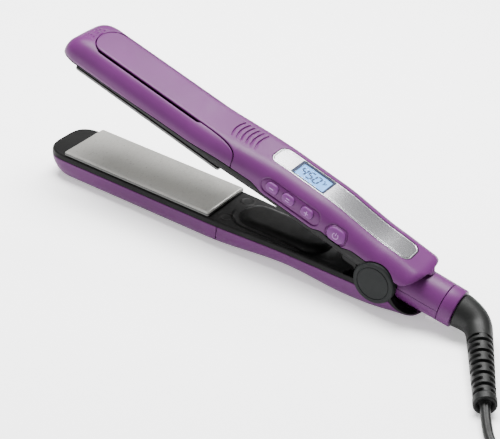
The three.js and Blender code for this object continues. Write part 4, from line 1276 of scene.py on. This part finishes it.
def button(name: str) -> None:
    """One button: a soft domed cap with a small raised sign, standing in its opening."""
    outline = resampled(button_outline(name, 0.0), 0.6)
    x, z = BUTTONS[name]
    width, height = POWER_SIZE if name == "power" else BUTTON_SIZE
    reach = (width - height) / 2
    middle = np.column_stack([np.clip(outline[:, 0], x - reach, x + reach), np.full(len(outline), z)])
    shares = np.array([0.0, 0.02, 0.06, 0.12, 0.2, 0.32, 0.5, 0.7, 0.88, 1.0])
    plan = outline[None] + (middle - outline)[None] * shares[:, None, None]
    away = np.hypot(*np.moveaxis(plan - outline[None], -1, 0))
    lift = 0.55 - fillet(away, 0.75) + 0.12 * (1 - np.exp(-away / 1.2))
    dome = on_wall(plan, lift)
    skirt = dome[:1].copy()
    skirt[..., 1] = skirt[..., 1] + 2.6
    shut = dome[-1:].copy()
    shut[..., 1] = skirt[0, :, 1].mean()
    cap = mesh_from("cap", [grid(np.concatenate([shut, skirt, dome]), wrap=True)], Pose.UPPER)
    signs = {
        "minus": [(0, 0, 2.8, 0.6)], "plus": [(0, 0, 2.8, 0.6), (0, 0, 0.6, 2.8)],
        "mode": [(0, 0.8, 2.4, 0.5), (0, -0.8, 2.4, 0.5)], "power": [(0, 1.1, 0.5, 1.8)],
    }[name]
    marks = []
    for dx, dz, w, h in signs:
        u, v = x + dx, z + dz
        mark = resampled(box_outline(u - w / 2, u + w / 2, v - h / 2, v + h / 2, 0.2, 4), 0.4)
        marks.append(grid(np.stack([on_wall(mark, 0.55), on_wall(mark, 0.73)]), wrap=True, caps=True))
    if name == "power":
        turns = np.linspace(math.radians(125), math.radians(415), 30)
        rim = [np.column_stack([x + r * np.cos(turns), z + r * np.sin(turns)]) for r in (1.55, 2.0)]
        loops = [on_wall(rim[0], 0.55), on_wall(rim[1], 0.55), on_wall(rim[1], 0.73), on_wall(rim[0], 0.73)]
        marks.append(grid(np.stack(loops, 1), wrap=True, caps=True))
    sign = mesh_from("sign", marks, Pose.UPPER)
    piece = merged(f"{name}_button_cap", [(cap, BUTTON), (sign, MARK)])
    dress(piece, BUTTON, [f"button_{name}"])


# ---------- heated plates and screws ----------
def plates(prefix: str, pose: Pose) -> None:
    """Heated plate: bevelled slab with round corners and a channel underneath."""
    half, length = 19.05, 110.0
    outline = resampled(box_outline(0.0, length, -half, half, 1.4, 8), 2.5)
    middle = np.column_stack([np.clip(outline[:, 0], half, length - half), np.zeros(len(outline))])
    steps = [
        (0.0, 2.4), (0.0, 1.25), (0.12, 0.95), (0.75, 0.32), (1.0, 0.22),
        (1.6, 0.2), (6.0, 0.2), (12.0, 0.2), (half, 0.2),
    ]
    loops = [np.column_stack([middle, np.full(len(outline), 2.4)])]
    for inset, z in steps:
        plan = outline + (middle - outline) * (inset / half)
        loops.append(np.column_stack([plan, np.full(len(outline), z)]))
    rails = [prism(box_outline(5.0, 105.0, *band(s, 10.8, 13.0), 0.3), 2.2, 7.6) for s in SIDES]
    obj = mesh_from(f"{prefix}_plate_face", [grid(np.stack(loops[3:]), wrap=True)], pose, closed=False)
    sides = mesh_from("sides", [grid(np.stack(loops[:4]), wrap=True)] + rails, pose)
    if obj.data.polygons[-1].normal.z * (1.0 if pose is Pose.LOWER else -1.0) < 0:
        obj.data.flip_normals()
    obj = merged(f"{prefix}_plate_slab", [(obj, CERAMIC), (sides, EDGE)])
    dress(obj, CERAMIC, [f"{prefix}_plate"])
    for place, side in (("a", -1.0), ("b", 1.0)):
        y = side * SCREW_Y
        head = [(3.75, 0.001), (3.75, 2.35), (4.9, 2.35), (4.9, 1.2), (11.9, 1.2), (11.9, 0.001)]
        body = about_z(turned(rounded(head, 0.45), 48), SCREW_X, y)
        screw = mesh_from(f"{prefix}_screw_{place}_head", [body], pose)
        for w, h in ((1.4, 0.28), (0.28, 1.4)):
            slot = box_outline(SCREW_X - w, SCREW_X + w, y - h, y + h, 0.1, 3)
            carve(screw, [prism(slot, 3.0, 4.35)], pose)
        dress(screw, STEEL, [f"{prefix}_screw_{place}"])


# ---------- hinge, barrel and collar ----------
def hinge_caps() -> None:
    """Two hinge caps with a stepped rim and a fine ring groove on each face."""
    for place, side in (("near", -1.0), ("far", 1.0)):
        profile = [
            (14.8, 0.001), (14.8, 12.75), (18.2, 12.75), (18.75, 12.3), (18.9, 11.7), (18.9, 10.15),
            (18.55, 10.0), (18.55, 9.8), (18.95, 9.65), (19.0, 9.0), (19.0, 0.001),
        ]
        shell = about_y(turned([(d * side, r) for d, r in profile], 160), HINGE_X, 0.0)
        obj = mesh_from(f"hinge_cap_{place}_disc", [shell], Pose.BASE)
        dress(obj, CHARCOAL, [f"hinge_cap_{place}"])


def barrel() -> None:
    """Barrel of two halves with a parting line, its tang, and the collar at its end."""
    wall = [(11.5, 8.6), (11.5, 11.5), (11.9, 11.9), (37.6, 11.6), (37.9, 11.3), (37.9, 8.6)]
    gap = 0.012
    upper = turned(wall, 72, (gap, math.pi - gap))
    lower = turned(wall, 72, (math.pi + gap, 2 * math.pi - gap))
    top = mesh_from("barrel_half_upper", [upper], Pose.BARREL)
    dress(top, PURPLE, ["barrel_upper"])
    under = mesh_from("barrel_half_lower", [lower], Pose.BARREL)
    tang = []
    for s in SIDES:
        ring = turned([(s * 3.6, 2.1), (s * 3.6, 6.0), (s * 7.2, 6.0), (s * 7.2, 2.1)], 48)
        tang.append(about_y(ring, 0.0, 0.0))
    arms = [prism(box_outline(2.5, 14.4, *band(s, 3.6, 7.2), 0.5), -5.9, -0.2) for s in SIDES]
    webs = mesh_from("tang", tang + arms, Pose.BARREL)
    piece = merged("barrel_half_lower_tang", [(under, PURPLE), (webs, PURPLE)])
    dress(piece, PURPLE, ["barrel_lower"])
    ring = [(38.2, 7.7), (38.2, 11.3), (38.5, 11.6), (45.2, 11.45), (45.65, 11.25), (45.9, 10.8), (45.9, 7.7)]
    collar = mesh_from("barrel_collar_ring", [turned(ring, 120)], Pose.BARREL)
    dress(collar, PURPLE, ["barrel_collar"])


# ---------- elbow, strain relief, cord and plug ----------
DIRECTION = np.array([math.cos(BARREL_TILT), 0.0, -math.sin(BARREL_TILT)])
ELBOW_START = np.array([HINGE_X, 0.0, 0.0]) + DIRECTION * 46.4
ELBOW_END = np.array([287.6, -13.6, -12.0])
RELIEF_END = np.array([312.4, -57.0, -14.6])
RELIEF_RUN = (RELIEF_END - ELBOW_END) / np.linalg.norm(RELIEF_END - ELBOW_END)


def frames_along(path: Array, up: Array) -> tuple[Array, Array, Array]:
    """Tangent, side and lift vectors along a path, with the lift as near to up as it can be."""
    tangent = np.gradient(path, axis=0)
    tangent /= np.linalg.norm(tangent, axis=1, keepdims=True)
    side = np.cross(tangent, up)
    side /= np.linalg.norm(side, axis=1, keepdims=True)
    return tangent, side, np.cross(side, tangent)


def tube(path: Array, radius: Array, sides: int, caps: bool = True) -> Shell:
    """Tube of a radius table (rows, sides) or (rows, 1) along a path.

    Args:
        path: (rows, 3) centres.
        radius: distance from the centre for each row and angle.
        sides: points round it.
        caps: closes both ends.

    Returns:
        Points c + r (cos t side + sin t lift).
    """
    _, side, lift = frames_along(path, np.array([0.0, 0.0, 1.0]))
    turns = np.linspace(0.0, 2 * math.pi, sides, endpoint=False)
    ring = np.cos(turns)[None, :, None] * side[:, None] + np.sin(turns)[None, :, None] * lift[:, None]
    wide = np.broadcast_to(radius, (len(path), sides))[..., None]
    return grid(path[:, None] + ring * wide, wrap=True, caps=caps)


def elbow() -> None:
    """Smooth elbow from the collar to the ribs: cubic curve, thinning from 10.2 to 7.3."""
    t = np.linspace(0.0, 1.0, 60)[:, None]
    p1 = ELBOW_START + DIRECTION * 13
    p2 = ELBOW_END - RELIEF_RUN * 11
    u = 1 - t
    path = u ** 3 * ELBOW_START + 3 * t * u ** 2 * p1 + 3 * t * t * u * p2 + t ** 3 * ELBOW_END
    radius = 7.3 + 2.9 * (1 - t) ** 1.6
    radius = radius - fillet(t * 32.0, 0.6) * 0.8
    obj = mesh_from("cord_elbow", [tube(path, radius, 72)], Pose.BASE)
    dress(obj, RUBBER, ["swivel_elbow"])


@dataclass
class StrainRelief:
    """Ribbed sleeve: staggered slots cut into a tapering tube, and a plain cup at its end."""

    length: float = 49.6
    pitch: float = 4.32
    first: float = 0.25
    rows: int = 11
    slot: float = 1.05
    depth: float = 1.9

    def radius(self, run: Array, turn: Array) -> Array:
        """Radius at a length and angle: the taper less the slots, which alternate by a quarter turn."""
        base = 7.3 - 1.2 * run / self.length + 0.35 * ramp(44.0, 45.5, run)
        cut = np.zeros(np.broadcast(run, turn).shape)
        for k in range(self.rows):
            place = self.first + self.pitch * k
            for half in (0.0, math.pi):
                centre = math.radians(4) + half + (math.pi / 2 if k % 2 else 0.0)
                swing = (turn - centre + math.pi) % (2 * math.pi) - math.pi
                distance = stadium(swing * 6.6, run - place, 7.3, self.slot)
                cut = np.maximum(cut, 1 - ramp(-0.25, 0.22, distance))
        return base - self.depth * cut - 0.5 * (1 - ramp(0.0, 0.5, self.length - run))

    def build(self) -> None:
        """Makes the sleeve with a dished end round the cord."""
        run = stations((0.0, 45.6, 0.2), (45.6, self.length, 0.45))
        path = ELBOW_END + RELIEF_RUN * (CLEAR + run[:, None] * (49.9 / self.length) * 0.997)
        turns = np.linspace(0.0, 2 * math.pi, 96, endpoint=False)
        radius = self.radius(run[:, None], turns[None, :])
        body = tube(path, radius, 96, caps=False)
        _, side, lift = frames_along(path, np.array([0.0, 0.0, 1.0]))
        ring = np.cos(turns)[:, None] * side[-1] + np.sin(turns)[:, None] * lift[-1]
        dish = [(0.0, 5.6), (0.05, 5.0), (-0.6, 4.3), (-2.4, 3.6), (-3.0, 0.001)]
        end = np.stack([path[-1] + RELIEF_RUN * d + ring * r for d, r in dish])
        last = body.points.reshape(len(run), 96, 3)[-1:]
        first = body.points.reshape(len(run), 96, 3)[:1]
        close = np.concatenate([np.broadcast_to(path[0] + ring * 0.001, (1, 96, 3)), first])
        shells = [body, grid(np.concatenate([last, end]), wrap=True), grid(close, wrap=True)]
        obj = mesh_from("strain_relief_sleeve", shells, Pose.BASE)
        dress(obj, RUBBER, ["strain_relief"], angle=50.0)


LYING = FLOOR_Z + 2.85
ROUTE = [
    (312.4, -57.0, -14.6), (315.5, -62.4, -15.6), (319.4, -68.4, -16.8), (325.0, -75.6, -17.9),
    (332.5, -81.8, LYING), (341.5, -85.6, LYING), (351.0, -87.3, LYING),
]
TAIL = [(367.0, 1.1, LYING), (361.0, 1.3, LYING)]
COIL = (380.0, -45.3)
CORD_STEP = 5.5  # from one turn's middle to the next


def coil_points() -> Array:
    """7.6 turns, four wide and two high: r and z step by one cord width between turns.

    Angle grows from the place where the cord comes in to the place where its tail leaves.
    """
    turn = np.arange(0.0, 7.59, 1 / 48)
    radius = 46.46 - 5.71 * ramp(0.0, 0.3, turn)
    for k in range(3):
        radius = radius - CORD_STEP * ramp(0.9 + k, 1.1 + k, turn)
        radius = radius + CORD_STEP * ramp(4.6 + k, 4.8 + k, turn)
    out = (turn - 7.3) / 0.29
    radius = radius + 5.75 * ramp(0.0, 0.55, out)
    height = LYING + CORD_STEP * (ramp(3.75, 3.95, turn) - ramp(0.3, 1.0, out))
    angle = math.radians(-114.1) + turn * 2 * math.pi
    return np.stack([COIL[0] + radius * np.cos(angle), COIL[1] + radius * np.sin(angle), height], -1)


def smooth_route(points: Array, step: float) -> Array:
    """Even points on a curve through the given ones: cubic Hermite spans with tangents by length."""
    lengths = np.concatenate([[0.0], np.cumsum(np.linalg.norm(np.diff(points, axis=0), axis=1))])
    tangent = np.gradient(points, lengths, axis=0)
    at = np.linspace(0.0, lengths[-1], int(lengths[-1] / step) + 1)
    k = np.clip(np.searchsorted(lengths, at, side="right") - 1, 0, len(points) - 2)
    h = (lengths[k + 1] - lengths[k])[:, None]
    t = ((at - lengths[k])[:, None]) / h
    p0, p1, m0, m1 = points[k], points[k + 1], tangent[k] * h, tangent[k + 1] * h
    rise = 3 * t ** 2 - 2 * t ** 3
    return (1 - rise) * p0 + rise * p1 + (t ** 3 - 2 * t ** 2 + t) * m0 + (t ** 3 - t ** 2) * m1


def plug() -> bpy.types.Object:
    """Moulded plug: a body that swells from the cord to a grip with a waist, and its face."""
    run = np.linspace(0.0, 30.0, 46)
    wide = along(((0, 4.2), (4, 5.0), (16, 8.9), (22, 7.6), (27, 9.0), (30, 8.6)), run)
    high = along(((0, 3.4), (4, 4.2), (16, 5.9), (22, 5.2), (27, 5.95), (30, 5.6)), run)
    turns = np.linspace(0.0, 2 * math.pi, 56, endpoint=False)
    c, s = np.cos(turns), np.sin(turns)
    y = np.sign(c) * np.abs(c) ** 0.6
    z = np.sign(s) * np.abs(s) ** 0.6
    grooves = 0.35 * np.exp(-(((run - 3.0) % 3.0 - 1.5) / 0.5) ** 2) * (run < 13)
    across = 1.3 + y * (wide - grooves)[:, None]
    upward = FLOOR_Z + 6.0 + z * (high - grooves)[:, None]
    points = np.stack(np.broadcast_arrays(360.6 - run[:, None], across, upward), -1)
    obj = mesh_from("plug_moulding", [grid(points, wrap=True, caps=True)], Pose.BASE)
    dress(obj, RUBBER, ["plug_body"])
    return obj


def cord() -> None:
    """The cord from the sleeve, through its coil, to the plug, with a fine groove along its top and foot."""
    route = np.concatenate([np.array(ROUTE), coil_points(), np.array(TAIL)])
    path = smooth_route(route, 2.6)
    turns = np.linspace(0.0, 2 * math.pi, 24, endpoint=False)
    groove = np.exp(-((np.abs(np.cos(turns))) / 0.16) ** 2)
    radius = 2.74 - 0.5 * groove
    obj = mesh_from("power_cord_run", [tube(path, radius[None, :], 24)], Pose.BASE)
    dress(obj, RUBBER, ["power_cord", "cord_coil", "cord_tail"], angle=60.0)
    where = placed(path, Pose.BASE)
    ending = plug()
    tuple(placed(RELIEF_END, Pose.BASE))


# ---------- studio ----------
def camera() -> None:
    """Long-lens camera above the button side, rolled a little."""
    turn, rise, roll = (math.radians(a) for a in (31.36, 33.01, 4.7))
    ahead = Vector((-math.sin(turn) * math.cos(rise), math.cos(turn) * math.cos(rise), -math.sin(rise)))
    right = ahead.cross(Vector((0, 0, 1))).normalized()
    up = right.cross(ahead)
    across = right * math.cos(roll) + up * math.sin(roll)
    upward = up * math.cos(roll) - right * math.sin(roll)
    data = bpy.data.cameras.new("camera")
    data.lens = 104.4
    data.sensor_width = 36.0
    data.clip_start = 0.01
    obj = bpy.data.objects.new("camera", data)
    basis = Matrix((across, upward, -ahead)).transposed().to_4x4()
    basis.translation = Vector((0.37741, -0.61778, 0.48437))
    obj.matrix_world = basis
    bpy.context.scene.collection.objects.link(obj)
    bpy.context.scene.camera = obj


@dataclass(frozen=True)
class Lamp:
    """Soft area light that looks at the object's middle."""

    name: str
    place: Triple
    size: Pair
    watts: float

    def build(self) -> None:
        """Adds the light."""
        data = bpy.data.lights.new(self.name, "AREA")
        data.shape = "RECTANGLE"
        data.size, data.size_y = self.size
        data.energy = self.watts
        obj = bpy.data.objects.new(self.name, data)
        where = Vector(self.place)
        obj.matrix_world = Matrix.Translation(where) @ (-where).to_track_quat("-Z", "Y").to_matrix().to_4x4()
        bpy.context.scene.collection.objects.link(obj)


def studio() -> None:
    """Pale floor, pale surroundings and three soft lights."""
    side = 4.0
    mesh = bpy.data.meshes.new("studio_floor")
    corners = [(-side, -side, 0), (side, -side, 0), (side, side, 0), (-side, side, 0)]
    mesh.from_pydata(corners, [], [(0, 1, 2, 3)])
    floor = bpy.data.objects.new("studio_floor", mesh)
    floor.data.materials.append(material_of(FLOOR))
    bpy.context.scene.collection.objects.link(floor)
    world = bpy.data.worlds.new("surroundings")
    world.use_nodes = True
    world.node_tree.nodes["Background"].inputs["Color"].default_value = (1.0, 1.0, 1.0, 1.0)
    world.node_tree.nodes["Background"].inputs["Strength"].default_value = 0.45
    bpy.context.scene.world = world
    for lamp in (
        Lamp("overhead", (-0.15, 0.2, 1.0), (0.9, 0.5), 50.0),
        Lamp("back_window", (-0.18, 0.84, 0.84), (0.3, 0.3), 6.0),
        Lamp("front_fill", (-0.5, -0.9, 0.6), (0.6, 0.6), 2.0),
    ):
        lamp.build()


# ---------- pieces kept from the frame ----------
KEPT = {
    "hinge_pin": STEEL, "torsion_spring": STEEL, "swivel_neck": BLACK, "main_board": BOARD,
    "plug_blade_a": STEEL, "plug_blade_b": STEEL, "cover_screw_a": STEEL, "cover_screw_b": STEEL,
    **{f"{arm}_{part}": finish for arm in ("lower", "upper") for part, finish in (
        ("heater", STEEL), ("thermistor", BLACK), ("plate_holder", BLACK),
        ("leaf_spring_front", STEEL), ("leaf_spring_rear", STEEL),
    )},
}


def dress_kept() -> None:
    """Gives every piece that stays from the frame its procedural finish."""
    for name, finish in KEPT.items():
        mesh = frame["nodes"][name].data
        mesh.materials.clear()
        mesh.materials.append(material_of(finish))
        LOG.info("%s keeps its own form", name)


def main() -> None:
    """Builds the whole object, camera and cord first."""
    logging.basicConfig(level=logging.INFO, format="%(name)s %(message)s")
    camera()
    cord()
    studio()
    elbow()
    StrainRelief().build()
    barrel()
    hinge_caps()
    lower_covers()
    upper_covers()
    lower_frame()
    upper_frame()
    plates("lower", Pose.LOWER)
    plates("upper", Pose.UPPER)
    control_panel()
    display()
    for name in BUTTONS:
        button(name)
    dress_kept()


if __name__ == "__main__":
    main()
